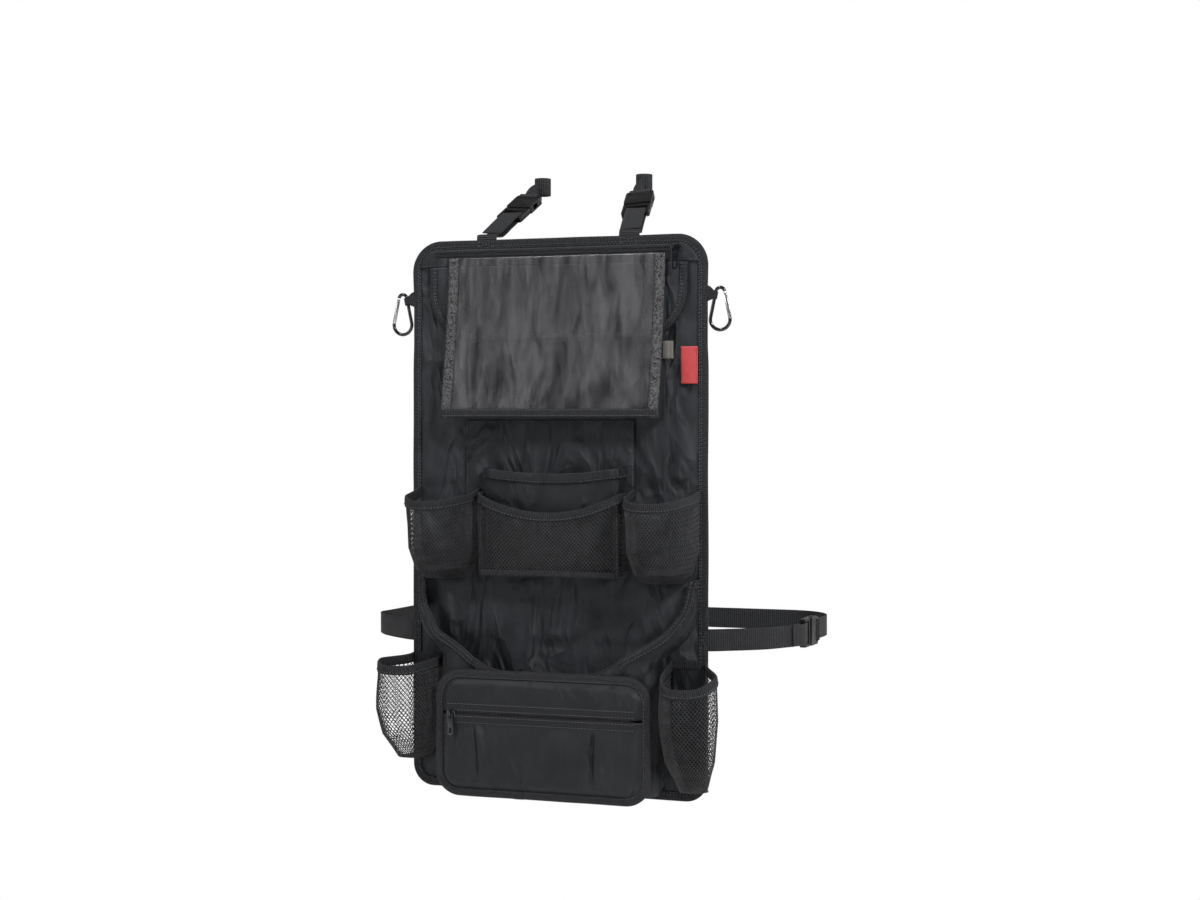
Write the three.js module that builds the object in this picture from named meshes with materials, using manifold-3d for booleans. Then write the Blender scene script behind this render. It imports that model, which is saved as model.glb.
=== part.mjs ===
// Hanging organizer for the back of a car seat, in millimetres.
// +X is to the right as seen from the front, +Y points to the seat, +Z is up. The origin lies on the
// rear face, on the centre line, ORIGIN_DROP below the top edge.
import * as THREE from 'three';
import { mergeVertices } from 'three/addons/utils/BufferGeometryUtils.js';
import Module from 'manifold-3d';

const wasm = await Module();
wasm.setup();
const { Manifold, Mesh } = wasm;

// Sewn allowances
const SEAT = 0.3; // gap between pieces that touch
const TAPE = 0.9; // thickness of the binding tape
const CLOTH = 1.4; // thickness of the pocket cloth
const NET = 1.2; // thickness of the pocket netting

// Main panel
const PANEL_W = 364;
const PANEL_H = 640;
const ORIGIN_DROP = 20;
const TOP_CORNER_R = 36;
const BOTTOM_CORNER_R = 26;
const EDGE_BAND = 11; // visible width of the edge binding
const FLANGE = 2.2; // panel thickness inside the binding
const EDGE_DEPTH = 2 * TAPE + 2 * SEAT + FLANGE;
const PANEL_T = EDGE_DEPTH - 0.2;

// Header and tablet zip
const HEADER_H = 31; // bottom seam of the header, below the top edge
const HEADER_T = 3.6;
const TAPE_ZIP = 0.8; // thickness of the zip tapes
const ZIP_DROP = 15.6; // centre line of the tablet zip, below the top edge
const ZIP_HALF = 152;
const ZIP_TAPE_W = 3.6;
const ZIP_GAP = 0.5; // half of the gap between the two tapes

// Bound panel behind the tablet sleeve
const BACKING_HALF = 159;
const BACKING_BOTTOM = 120;
const BACKING_R = 60;
const BACKING_BAND = 10;
const BACKING_T = 1.2;

// Tablet sleeve
const SLEEVE_HALF = 133;
const SLEEVE_TOP = 21;
const SLEEVE_BOTTOM = 207;
const SLEEVE_DEPTH_TOP = 1;
const SLEEVE_DEPTH_BOTTOM = 27;
const SLEEVE_CURVE = 1.6; // how late the sleeve opens out on its way down
const SLEEVE_BAND = 12;
const SLEEVE_BAND_LOW = 10;
const SLEEVE_BAND_T = 1;
const FILM_T = 0.6;
const TAB_DROP = 131;
const TAB_H = 20;
const TAB_W = 13;
const TAB_T = 1.2;

// Side label
const LABEL_W = 20;
const LABEL_H = 42;
const LABEL_DROP = 127;
const LABEL_T = 0.8;

// Facing between the sleeve and the pockets
const FACING_LEFT = -113;
const FACING_RIGHT = 95;
const FACING_TOP = 209.5;
const FACING_BOTTOM = 261;
const FACING_T = 1.2;

// Pockets of the middle row
const RIM_BAND = 10; // visible width of the rim bindings
const CUP_HALF = 40;
const CUP_OVERHANG = -8; // how far a cup pocket stands out beyond the panel's edge
const CUP_CENTRE = PANEL_W / 2 + CUP_OVERHANG - CUP_HALF;
const WIPES_GAP = 9; // from the cup pockets
const WIPES_HALF = CUP_CENTRE - CUP_HALF - WIPES_GAP;
const WIPES_TOP = 263;
const WIPES_SAG = 9;
const WIPES_BOTTOM = 384;
const WIPES_DEPTH = 23;
const WIPES_TAPER = 6; // how much shallower it is at the bottom
const CENTRE_GAP = 6;
const CENTRE_HALF = CUP_CENTRE - CUP_HALF - CENTRE_GAP;
const CENTRE_TOP = 287;
const CENTRE_SAG = 29;
const CENTRE_BOTTOM = 386;
const CENTRE_DEPTH = 33;
const CENTRE_TAPER = 4;
const CUP_TOP = 289;
const CUP_FRONT_DROP = 14; // how much lower the rim is at the front
const CUP_BOTTOM = 393;
const CUP_DEPTH = 75;

// Bottle pockets
const BOTTLE_HALF = 35;
const BOTTLE_OVERHANG = 26;
const BOTTLE_CENTRE = PANEL_W / 2 + BOTTLE_OVERHANG - BOTTLE_HALF;
const BOTTLE_DEPTH = 72;
const BOTTLE_MOUTH = 2; // how much narrower it is at the rim, on each side
const BOTTLES = [
  // back of the rim, how much lower the rim is at the front, bottom
  { side: -1, word: 'left', top: 484, frontDrop: 8, bottom: 602 },
  { side: 1, word: 'right', top: 481, frontDrop: 24, bottom: 623 },
];

// Big pocket
const BIG_TOP = 390; // where its rim levels out beside the pockets above
const BIG_LOW = 497; // lowest point of the rim
const BIG_FLAT = 60; // half width of the rim's flat middle
const BIG_BOTTOM = 634;
const BIG_GAP = 4; // from the bottle pockets
const BIG_HALF = BOTTLE_CENTRE - BOTTLE_HALF - BIG_GAP;
const BIG_INSET = 10;
const BIG_FLARE = PANEL_W / 2 - BIG_INSET; // half width at the top
const BIG_REACH = BIG_FLARE - 9; // half width of the rim's curve at its top
const BIG_DEPTH = 41;

// Front zip pocket
const FRONT_GAP = 3; // from the sides of the big pocket
const FRONT_HALF = BIG_HALF - FRONT_GAP;
const FRONT_TOP = 496;
const FRONT_BOTTOM = 641;
const FRONT_R = 30;
const FRONT_BAND = 10;
const FRONT_SLOPE = 6; // width of the sloping border inside the binding
const FRONT_RISE = 6;
const FRONT_T = 1.2;
const FRONT_ZIP_DROP = 545;
const FRONT_ZIP_TAPE = 12;
const PLEATS_X = [-80, 64];
const PLEAT_W = 2.4;

// Webbing and buckles
const WEB = 25;
const WEB_T = 1.5;
const STRAP_X = 88;
const STRAP_GRIP = 8; // length of a strap end inside the binding
const POST_X = 65;
const POST_Y = 115;
const POST_RISE = 72;
const POST_R = 7;
const BUCKLE_HALF = 16.5;
const BUCKLE_T = 9;
const FEMALE_L = 30;
const MALE_L = 26;
const PRONG_L = 17;
const TWIST_L = 20; // webbing between the female half and the headrest post
const TWIST_GATHER = 0.85; // how much narrower the webbing is where it twists
const TAIL_L = 66; // loose end behind the male half
const SIDE_DROP = 457;
const SIDE_OUT = 80; // how far the side straps stand off the panel's edges
const SIDE_X = PANEL_W / 2 + SIDE_OUT;
const SIDE_BUCKLE_Y = 132;
const SEAT_FRONT_Y = 270;

// Carabiners
const WIRE_R = 2;
const HOOK_OUT = 8; // from the panel's edge to the ribbon loop
const HOOK_X = PANEL_W / 2 + HOOK_OUT;
const HOOK_DROP = 70;
const HOOK_LEAN = 12; // degrees
const HOOK_TOP_R = 5.2;
const HOOK_LOW_R = 11.5;
const HOOK_SPINE = 30; // between the centres of its two bends
const HOOK_RISE = 4.5; // from the ribbon loop to the centre of its upper bend
const RIBBON_H = 18;
const RIBBON_T = 1;

const TOP = ORIGIN_DROP;
const level = (drop) => TOP - drop;
const FRONT_FACE = -EDGE_DEPTH - SEAT; // where the pockets begin
const MERGE = 0.02; // edges shorter than this are closed up

const cloth = new THREE.MeshStandardMaterial({ color: 0x1c1d20, roughness: 0.85 });
const tape = new THREE.MeshStandardMaterial({ color: 0x2a2b2e, roughness: 0.9 });
const netting = new THREE.MeshStandardMaterial({ color: 0x151618, roughness: 0.8 });
const webbing = new THREE.MeshStandardMaterial({ color: 0x202124, roughness: 0.8 });
const film = new THREE.MeshStandardMaterial({ color: 0x8b8f94, roughness: 0.25, transparent: true, opacity: 0.5 });
const greyWeb = new THREE.MeshStandardMaterial({ color: 0x8c8a88, roughness: 0.8 });
const red = new THREE.MeshStandardMaterial({ color: 0xb3202a, roughness: 0.7 });
const plastic = new THREE.MeshStandardMaterial({ color: 0x111214, roughness: 0.45 });
const enamel = new THREE.MeshStandardMaterial({ color: 0x0d0d0f, roughness: 0.3, metalness: 0.8 });
const aluminium = new THREE.MeshStandardMaterial({ color: 0xc9ccd0, roughness: 0.3, metalness: 1 });

const organizer = new THREE.Group();

// A closed geometry as a solid that can be joined and cut
function solid(geometry) {
  const bare = geometry.index ? geometry.toNonIndexed() : geometry.clone();
  bare.deleteAttribute('normal');
  bare.deleteAttribute('uv');
  const merged = mergeVertices(bare, 1e-4);
  return new Manifold(new Mesh({
    numProp: 3,
    vertProperties: new Float32Array(merged.attributes.position.array),
    triVerts: new Uint32Array(merged.index.array),
  }));
}

function geometryOf(body) {
  const mesh = body.getMesh();
  const geometry = new THREE.BufferGeometry();
  geometry.setAttribute('position', new THREE.BufferAttribute(new Float32Array(mesh.vertProperties), 3));
  geometry.setIndex(new THREE.BufferAttribute(new Uint32Array(mesh.triVerts), 1));
  geometry.computeVertexNormals();
  return geometry;
}

function add(name, body, material, parent = organizer) {
  const mesh = new THREE.Mesh(geometryOf(body.simplify(MERGE)), material);
  mesh.name = name;
  parent.add(mesh);
  return mesh;
}

// A body through rings of points, each ring a closed convex loop with the same number of points
function loft(rings) {
  const positions = rings.flat().flatMap((p) => [p.x, p.y, p.z]);
  const count = rings[0].length;
  const index = [];
  for (let r = 0; r + 1 < rings.length; r++) {
    for (let i = 0; i < count; i++) {
      const j = (i + 1) % count;
      const a = r * count + i;
      const b = r * count + j;
      index.push(a, b, b + count, a, b + count, a + count);
    }
  }
  const last = (rings.length - 1) * count;
  for (let i = 1; i + 1 < count; i++) {
    index.push(0, i + 1, i, last, last + i, last + i + 1);
  }
  const geometry = new THREE.BufferGeometry();
  geometry.setAttribute('position', new THREE.Float32BufferAttribute(positions, 3));
  geometry.setIndex(volumeOf(positions, index) < 0 ? index.reverse() : index);
  return solid(geometry);
}

function volumeOf(positions, index) {
  const corner = (i) => new THREE.Vector3().fromArray(positions, 3 * i);
  let volume = 0;
  for (let t = 0; t < index.length; t += 3) {
    volume += corner(index[t]).dot(corner(index[t + 1]).cross(corner(index[t + 2]))) / 6;
  }
  return volume;
}

function box(x0, x1, y0, y1, z0, z1) {
  const geometry = new THREE.BoxGeometry(Math.abs(x1 - x0), Math.abs(y1 - y0), Math.abs(z1 - z0));
  geometry.translate((x0 + x1) / 2, (y0 + y1) / 2, (z0 + z1) / 2);
  return solid(geometry);
}

function rod(radius, from, to, sides = 12) {
  const axis = to.clone().sub(from);
  const geometry = new THREE.CylinderGeometry(radius, radius, axis.length(), sides);
  geometry.applyQuaternion(new THREE.Quaternion().setFromUnitVectors(new THREE.Vector3(0, 1, 0), axis.clone().normalize()));
  const middle = from.clone().add(to).multiplyScalar(0.5);
  geometry.translate(middle.x, middle.y, middle.z);
  return solid(geometry);
}

// An upright outline, drawn in X and Z, as a slab from yBack forwards
function slab(shape, yBack, depth, curveSegments = 4) {
  const geometry = new THREE.ExtrudeGeometry(shape, { depth, bevelEnabled: false, curveSegments });
  geometry.rotateX(Math.PI / 2);
  geometry.translate(0, yBack, 0);
  return solid(geometry);
}

// A side profile, drawn in Y and Z, as a slab from xLeft to the right
function sideSlab(points, xLeft, width) {
  const shape = new THREE.Shape(points.map(([y, z]) => new THREE.Vector2(y, z)));
  const geometry = new THREE.ExtrudeGeometry(shape, { depth: width, bevelEnabled: false });
  geometry.applyMatrix4(new THREE.Matrix4().makeBasis(
    new THREE.Vector3(0, 1, 0), new THREE.Vector3(0, 0, 1), new THREE.Vector3(1, 0, 0),
  ));
  geometry.translate(xLeft, 0, 0);
  return solid(geometry);
}

function roundedOutline(x0, x1, z0, z1, rTop, rBottom) {
  const shape = new THREE.Shape();
  shape.moveTo(x0 + rBottom, z0);
  shape.lineTo(x1 - rBottom, z0);
  shape.absarc(x1 - rBottom, z0 + rBottom, rBottom, -Math.PI / 2, 0, false);
  shape.lineTo(x1, z1 - rTop);
  shape.absarc(x1 - rTop, z1 - rTop, rTop, 0, Math.PI / 2, false);
  shape.lineTo(x0 + rTop, z1);
  shape.absarc(x0 + rTop, z1 - rTop, rTop, Math.PI / 2, Math.PI, false);
  shape.lineTo(x0, z0 + rBottom);
  shape.absarc(x0 + rBottom, z0 + rBottom, rBottom, Math.PI, 1.5 * Math.PI, false);
  return shape;
}

function panelOutline(inset) {
  return roundedOutline(
    -PANEL_W / 2 + inset, PANEL_W / 2 - inset, level(PANEL_H) + inset, TOP - inset,
    TOP_CORNER_R - inset, BOTTOM_CORNER_R - inset,
  );
}

// Flat webbing through stations {at, across}: across is its width direction
function ribbon(stations, width, thickness) {
  const rings = stations.map((station, i) => {
    const before = stations[Math.max(i - 1, 0)].at;
    const after = stations[Math.min(i + 1, stations.length - 1)].at;
    const along = after.clone().sub(before).normalize();
    const across = station.across.clone().addScaledVector(along, -station.across.dot(along)).normalize();
    const face = along.clone().cross(across);
    return [[-1, -1], [1, -1], [1, 1], [-1, 1]].map(([u, v]) => station.at.clone()
      .addScaledVector(across, u * width / 2)
      .addScaledVector(face, v * thickness / 2));
  });
  return loft(rings);
}

// Slots that let strap ends into the edge between the two legs of the binding
const SLOT_T = WEB_T + 2 * SEAT;
const EDGE_MIDDLE = -EDGE_DEPTH / 2;

function topSlot(side) {
  const half = WEB / 2 + SEAT;
  const x = side * STRAP_X;
  return box(x - half, x + half, EDGE_MIDDLE - SLOT_T / 2, EDGE_MIDDLE + SLOT_T / 2, TOP - STRAP_GRIP - SEAT, TOP + 1);
}

function sideSlot(side) {
  const half = WEB / 2 + SEAT;
  const z = level(SIDE_DROP);
  return box(
    side * (PANEL_W / 2 - STRAP_GRIP - SEAT), side * (PANEL_W / 2 + 1),
    EDGE_MIDDLE - SLOT_T / 2, EDGE_MIDDLE + SLOT_T / 2, z - half, z + half,
  );
}

// Body of the panel and its edge binding
const hookPlaces = [-1, 1].map((side) => new THREE.Matrix4()
  .makeTranslation(side * HOOK_X, EDGE_MIDDLE, level(HOOK_DROP))
  .multiply(new THREE.Matrix4().makeRotationY(side * THREE.MathUtils.degToRad(HOOK_LEAN)))
  .multiply(new THREE.Matrix4().makeScale(side, 1, 1)));
const RIBBON_REACH = HOOK_X - PANEL_W / 2 + STRAP_GRIP;

function placed(body, matrix) {
  const geometry = geometryOf(body).applyMatrix4(matrix);
  if (matrix.determinant() < 0) {
    geometry.setIndex(Array.from(geometry.index.array).reverse());
  }
  return solid(geometry);
}

function ribbonSlot(matrix) {
  const half = RIBBON_H / 2 + SEAT;
  return placed(box(-RIBBON_REACH - 2 * SEAT, 0, -RIBBON_T - SEAT, RIBBON_T + SEAT, -half, half), matrix);
}

const slots = Manifold.union([
  topSlot(-1), topSlot(1), sideSlot(-1), sideSlot(1), ...hookPlaces.map(ribbonSlot),
]);
const flangeInset = TAPE + SEAT;
const panel = slab(panelOutline(flangeInset), -flangeInset, FLANGE)
  .add(slab(panelOutline(EDGE_BAND + SEAT), 0, PANEL_T))
  .subtract(slots);
add('back_panel', panel, cloth);
const binding = slab(panelOutline(0), 0, EDGE_DEPTH)
  .subtract(slab(panelOutline(EDGE_BAND), 1, EDGE_DEPTH + 2))
  .subtract(slab(panelOutline(TAPE), -TAPE, FLANGE + 2 * SEAT))
  .subtract(slots);
add('edge_binding', binding, tape);

// Header strip across the top, with the zip's two tapes on it
const headerInset = EDGE_BAND + SEAT;
const headerBack = -PANEL_T - SEAT;
const SLEEVE_BACK = headerBack - 2 * TAPE - BACKING_T - SEAT;
const header = slab(panelOutline(headerInset), headerBack, HEADER_T)
  .intersect(box(-PANEL_W, PANEL_W, 0, -PANEL_W, level(HEADER_H), TOP))
  .subtract(box(
    -SLEEVE_HALF - SEAT, SLEEVE_HALF + SEAT, SLEEVE_BACK + SEAT, -PANEL_W, level(PANEL_H), level(SLEEVE_TOP) + SEAT,
  ));
add('header_band', header, cloth);
const zipBack = headerBack - HEADER_T - SEAT;
const zipZ = level(ZIP_DROP);
add('tablet_zip_tape_upper', box(-ZIP_HALF, ZIP_HALF, zipBack, zipBack - TAPE_ZIP, zipZ + ZIP_GAP, zipZ + ZIP_TAPE_W), tape);
add('tablet_zip_tape_lower', box(-ZIP_HALF, ZIP_HALF, zipBack, zipBack - TAPE_ZIP, zipZ - ZIP_TAPE_W, zipZ - ZIP_GAP), tape);

// A zip slider in front of its tapes, with its pull hanging from an arch
const SLIDER_W = 8;
const SLIDER_L = 11;
const SLIDER_T = 1.5;
const ARCH_H = 4.2;
const ARCH_BAR = 1.4;
const ARCH_HALF = 3;
const ARCH_THICK = 0.8;
const PULL_L = 25;
const PULL_W = 7;
const PULL_T = 1.3;
const PIN_RISE = 1.6; // from the slider's plate to the axis of the pull

function zipSlider(names, x, yTape, z) {
  const group = new THREE.Group();
  group.position.set(x, yTape - SEAT, z);
  organizer.add(group);
  const plate = slab(roundedOutline(-SLIDER_L / 2, SLIDER_L / 2, -SLIDER_W / 2, SLIDER_W / 2, 2.5, 2.5), 0, SLIDER_T, 3);
  const arch = box(-ARCH_THICK, ARCH_THICK, -SLIDER_T / 2, -SLIDER_T - ARCH_H, -ARCH_HALF, ARCH_HALF)
    .subtract(box(-SLIDER_L, SLIDER_L, -SLIDER_T, -SLIDER_T - ARCH_H + ARCH_BAR, -ARCH_HALF + ARCH_BAR, ARCH_HALF - ARCH_BAR));
  add(names[0], plate.add(arch), plastic, group);
  const pinY = -SLIDER_T - PIN_RISE;
  const pinZ = -ARCH_HALF + ARCH_BAR + SEAT + PULL_T / 2;
  const pull = slab(roundedOutline(-PULL_W / 2, PULL_W / 2, -PULL_L, PULL_T / 2, 0.5, 3.2), PULL_T / 2, PULL_T, 3)
    .subtract(box(-1.9, 1.9, -PULL_T, PULL_T, -PULL_T / 2 - 4.4, -PULL_T / 2))
    .subtract(box(-1.2, 1.2, -PULL_T, PULL_T, -PULL_L + 3, -PULL_L + 9));
  const mesh = add(names[1], pull, plastic, group);
  mesh.position.set(0, pinY, pinZ);
}
zipSlider(['tablet_zip_slider', 'tablet_zip_pull'], ZIP_HALF - SLIDER_L / 2 - 1, zipBack - TAPE_ZIP, zipZ);

// Bound panel that shows on both sides of the sleeve
function backingOutline(inset) {
  return roundedOutline(
    -BACKING_HALF + inset, BACKING_HALF - inset, level(BACKING_BOTTOM) + inset, level(HEADER_H) - SEAT,
    0.5, BACKING_R - inset,
  );
}
const backing = slab(backingOutline(BACKING_BAND / 2), headerBack, BACKING_T);
add('backing_panel', backing, cloth);
const backingBinding = slab(backingOutline(0), headerBack, 2 * TAPE + BACKING_T)
  .subtract(slab(backingOutline(BACKING_BAND), 1, 3 * EDGE_DEPTH))
  .subtract(slab(backingOutline(BACKING_BAND / 2 - SEAT), headerBack + 1, BACKING_T + 1 + SEAT));
add('backing_binding', backingBinding, tape);

// Tablet sleeve: it opens out from the zip down to its lower edge
const SLEEVE_STEPS = 6;

function sleeveFront(drop) {
  const share = (drop - SLEEVE_TOP) / (SLEEVE_BOTTOM - SLEEVE_TOP);
  return SLEEVE_BACK - SLEEVE_DEPTH_TOP - (SLEEVE_DEPTH_BOTTOM - SLEEVE_DEPTH_TOP) * share ** SLEEVE_CURVE;
}

function sleeveStrip(near, far, from = SLEEVE_TOP, to = SLEEVE_BOTTOM) {
  const drops = Array.from({ length: SLEEVE_STEPS + 1 }, (_, i) => from + ((to - from) * i) / SLEEVE_STEPS);
  const back = drops.map((d) => [near === null ? SLEEVE_BACK : sleeveFront(d) - near, level(d)]);
  const front = drops.map((d) => [sleeveFront(d) - far, level(d)]).reverse();
  return [...back, ...front];
}
const gussetOuter = sideSlab(sleeveStrip(null, 0), -SLEEVE_HALF + 1, 2 * SLEEVE_HALF - 2);
const gussetInner = box(
  -SLEEVE_HALF + 1 + CLOTH, SLEEVE_HALF - 1 - CLOTH, 10, -PANEL_W, level(SLEEVE_BOTTOM) + CLOTH, TOP,
);
add('sleeve_gusset', gussetOuter.subtract(gussetInner), cloth);
const sleeveFrame = sideSlab(sleeveStrip(SEAT, SEAT + SLEEVE_BAND_T), -SLEEVE_HALF, 2 * SLEEVE_HALF)
  .subtract(box(
    -SLEEVE_HALF + SLEEVE_BAND, SLEEVE_HALF - SLEEVE_BAND, 0, -PANEL_W, level(SLEEVE_BOTTOM) + SLEEVE_BAND_LOW, TOP,
  ));
add('sleeve_frame', sleeveFrame, tape);
const filmHalf = SLEEVE_HALF - 1 - CLOTH - SEAT;
const filmStrip = sideSlab(sleeveStrip(-FILM_T, 0), -filmHalf, 2 * filmHalf)
  .intersect(box(-PANEL_W, PANEL_W, 0, -PANEL_W, level(SLEEVE_BOTTOM) + CLOTH + SEAT, TOP));
add('sleeve_window', filmStrip, film);
const tabZ = level(TAB_DROP);
const tabLeft = SLEEVE_HALF - 1 + SEAT;
const tabY = (sleeveFront(TAB_DROP) + SLEEVE_BACK) / 2;
add('sleeve_tab', box(tabLeft, tabLeft + TAB_W, tabY, tabY - TAB_T, tabZ - TAB_H / 2, tabZ + TAB_H / 2), greyWeb);

// Blank label sewn beside the sleeve
const labelRight = PANEL_W / 2 - EDGE_BAND - SEAT;
const labelTop = level(LABEL_DROP);
add('side_label', box(labelRight - LABEL_W, labelRight, headerBack, headerBack - LABEL_T, labelTop - LABEL_H, labelTop), red);

add('centre_facing', box(
  FACING_LEFT, FACING_RIGHT, headerBack, headerBack - FACING_T, level(FACING_BOTTOM), level(FACING_TOP),
), cloth);

// A pocket wall: an upright tub whose plan is a rounded bow in front of its back plane.
// Stations hold {drop, half, depth}; a closed tub has a wall of its own at the back too.
function tub({ x, stations, back, wall, power = 3, segments = 14, closed = false, floor = wall }) {
  const bow = (half, depth) => Array.from({ length: segments + 1 }, (_, i) => {
    const angle = Math.PI * (1 + i / segments);
    const c = Math.cos(angle);
    const s = Math.sin(angle);
    return [half * Math.sign(c) * Math.abs(c) ** (2 / power), depth * Math.abs(s) ** (2 / power)];
  });
  const ring = (drop, half, depth, rear) => bow(half, depth + rear)
    .map(([u, v]) => new THREE.Vector3(x + u, back + rear - v, level(drop)));
  const outer = (grow) => loft(stations.map((s, i) => {
    const end = i === stations.length - 1 ? Math.min(grow, SEAT) : 0;
    return ring(s.drop + end, s.half + grow, s.depth + grow, 0);
  }));
  const inner = (shrink) => loft(stations.map((s, i) => {
    const last = i === stations.length - 1;
    const thin = wall + shrink;
    const rear = closed ? -thin : 4;
    const drop = last ? s.drop - floor : i === 0 ? s.drop - 2 : s.drop;
    return ring(drop, s.half - thin, s.depth - thin, rear);
  }));
  return { outer, inner };
}

// A rim is a line in drop over x or y; below(grow) is everything under it
function rimAlongX(points) {
  const under = (grow) => {
    const shape = new THREE.Shape();
    shape.moveTo(points[0][0], level(2 * PANEL_H));
    points.forEach(([px, drop]) => shape.lineTo(px, level(drop) + grow));
    shape.lineTo(points[points.length - 1][0], level(2 * PANEL_H));
    return slab(shape, 60, 260);
  };
  return under;
}

function rimAlongY(backDrop, frontDrop, depth, back) {
  const slope = (frontDrop - backDrop) / depth;
  return (grow) => sideSlab([
    [back + 60, level(backDrop - 60 * slope) + grow],
    [back + 60, level(2 * PANEL_H)],
    [back - 200, level(2 * PANEL_H)],
    [back - 200, level(backDrop + 200 * slope) + grow],
  ], -PANEL_W, 2 * PANEL_W);
}

function boundPocket({ outer, inner }, under, band = RIM_BAND) {
  const wall = outer(0).subtract(inner(0)).intersect(under(0));
  const reach = SEAT + TAPE;
  const rim = outer(reach).subtract(inner(reach))
    .intersect(under(reach).subtract(under(-band)))
    .subtract(outer(SEAT).subtract(inner(SEAT)).intersect(under(SEAT)));
  return { wall, rim };
}

// Diamond gaps in a net wall: bows of plan points at each row, with the gaps set between the given shares
function netGaps({ x, back, row, rows, columns, from, to, half, depth, power = 3, size }) {
  const cutters = [];
  const at = (share, h, d) => {
    const angle = Math.PI * (1 + share);
    const c = Math.cos(angle);
    const s = Math.sin(angle);
    return new THREE.Vector3(x + h * Math.sign(c) * Math.abs(c) ** (2 / power), back - d * Math.abs(s) ** (2 / power), 0);
  };
  for (let r = 0; r < rows; r++) {
    const drop = row(r);
    const h = half(drop);
    const d = depth(drop);
    const table = Array.from({ length: 101 }, (_, i) => at(i / 100, h, d));
    const lengths = [0];
    for (let i = 1; i < table.length; i++) {
      lengths.push(lengths[i - 1] + table[i].distanceTo(table[i - 1]));
    }
    const total = lengths[lengths.length - 1];
    const shift = r % 2 ? 0.5 : 0;
    for (let c = 0; c + shift < columns; c++) {
      const want = total * (from + ((to - from) * (c + 0.5 + shift)) / columns);
      if (want > total * to) {
        continue;
      }
      const i = Math.max(1, lengths.findIndex((l) => l >= want));
      const share = (want - lengths[i - 1]) / (lengths[i] - lengths[i - 1]);
      const centre = table[i - 1].clone().lerp(table[i], share);
      const side = table[i].clone().sub(table[i - 1]).normalize();
      const out = new THREE.Vector3(side.y, -side.x, 0);
      centre.z = level(drop);
      const ring = (t) => [[-1, 0], [0, -1], [1, 0], [0, 1]].map(([u, v]) => centre.clone()
        .addScaledVector(side, (u * size[0]) / 2)
        .add(new THREE.Vector3(0, 0, (v * size[1]) / 2))
        .addScaledVector(out, t));
      cutters.push(loft([ring(-3.5), ring(3.5)]));
    }
  }
  return Manifold.union(cutters);
}

const straight = (a, b, da, db) => (drop) => a + ((b - a) * (drop - da)) / (db - da);

// Cloth pocket and the net pocket in front of it
const wipesTub = tub({
  x: 0, back: FRONT_FACE, wall: CLOTH, power: 7, segments: 8,
  stations: [
    { drop: WIPES_TOP - 12, half: WIPES_HALF, depth: WIPES_DEPTH },
    { drop: WIPES_BOTTOM, half: WIPES_HALF, depth: WIPES_DEPTH - WIPES_TAPER },
  ],
});
const sagRim = (half, top, sag) => Array.from({ length: 9 }, (_, i) => {
  const u = -1 + i / 4;
  return [u * (half + 12), top + sag * (1 - u * u)];
});
const wipes = boundPocket(wipesTub, rimAlongX(sagRim(WIPES_HALF, WIPES_TOP, WIPES_SAG)));
add('wipes_pocket', wipes.wall, cloth);
add('wipes_hem', wipes.rim, tape);

const centreTub = tub({
  x: 0, back: FRONT_FACE, wall: NET, power: 9, segments: 8,
  stations: [
    { drop: CENTRE_TOP - 12, half: CENTRE_HALF, depth: CENTRE_DEPTH },
    { drop: CENTRE_BOTTOM, half: CENTRE_HALF, depth: CENTRE_DEPTH - CENTRE_TAPER },
  ],
});
const centre = boundPocket(centreTub, rimAlongX(sagRim(CENTRE_HALF, CENTRE_TOP, CENTRE_SAG)));
const centreGaps = netGaps({
  x: 0, back: FRONT_FACE, power: 9, rows: 4, columns: 9, from: 0.145, to: 0.855, size: [13, 12],
  row: (r) => CENTRE_TOP + CENTRE_SAG + 18 + 14 * r,
  half: () => CENTRE_HALF,
  depth: straight(CENTRE_DEPTH, CENTRE_DEPTH - CENTRE_TAPER, CENTRE_TOP - 12, CENTRE_BOTTOM),
});
add('centre_mesh_pocket', centre.wall.subtract(centreGaps), netting);
add('centre_mesh_binding', centre.rim, tape);

// Cup pockets, one at each side
for (const [side, word] of [[-1, 'left'], [1, 'right']]) {
  const x = side * CUP_CENTRE;
  const cupTub = tub({
    x, back: FRONT_FACE, wall: NET, power: 2.6, segments: 8,
    stations: [
      { drop: CUP_TOP - 12, half: CUP_HALF, depth: CUP_DEPTH },
      { drop: CUP_BOTTOM - 36, half: CUP_HALF - 2, depth: CUP_DEPTH - 5 },
      { drop: CUP_BOTTOM - 12, half: CUP_HALF - 8, depth: CUP_DEPTH - 18 },
      { drop: CUP_BOTTOM, half: CUP_HALF - 17, depth: CUP_DEPTH - 38 },
    ],
  });
  const cup = boundPocket(cupTub, rimAlongY(CUP_TOP, CUP_TOP + CUP_FRONT_DROP, CUP_DEPTH, FRONT_FACE));
  const gaps = netGaps({
    x, back: FRONT_FACE, power: 2.6, rows: 3, columns: 9, from: 0.06, to: 0.94, size: [12, 11],
    row: (r) => CUP_TOP + CUP_FRONT_DROP + 20 + 14 * r,
    half: straight(CUP_HALF, CUP_HALF - 2, CUP_TOP - 12, CUP_BOTTOM - 36),
    depth: straight(CUP_DEPTH, CUP_DEPTH - 5, CUP_TOP - 12, CUP_BOTTOM - 36),
  });
  add(`cup_mesh_${word}`, cup.wall.subtract(gaps), netting);
  add(`cup_binding_${word}`, cup.rim, tape);
}

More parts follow.
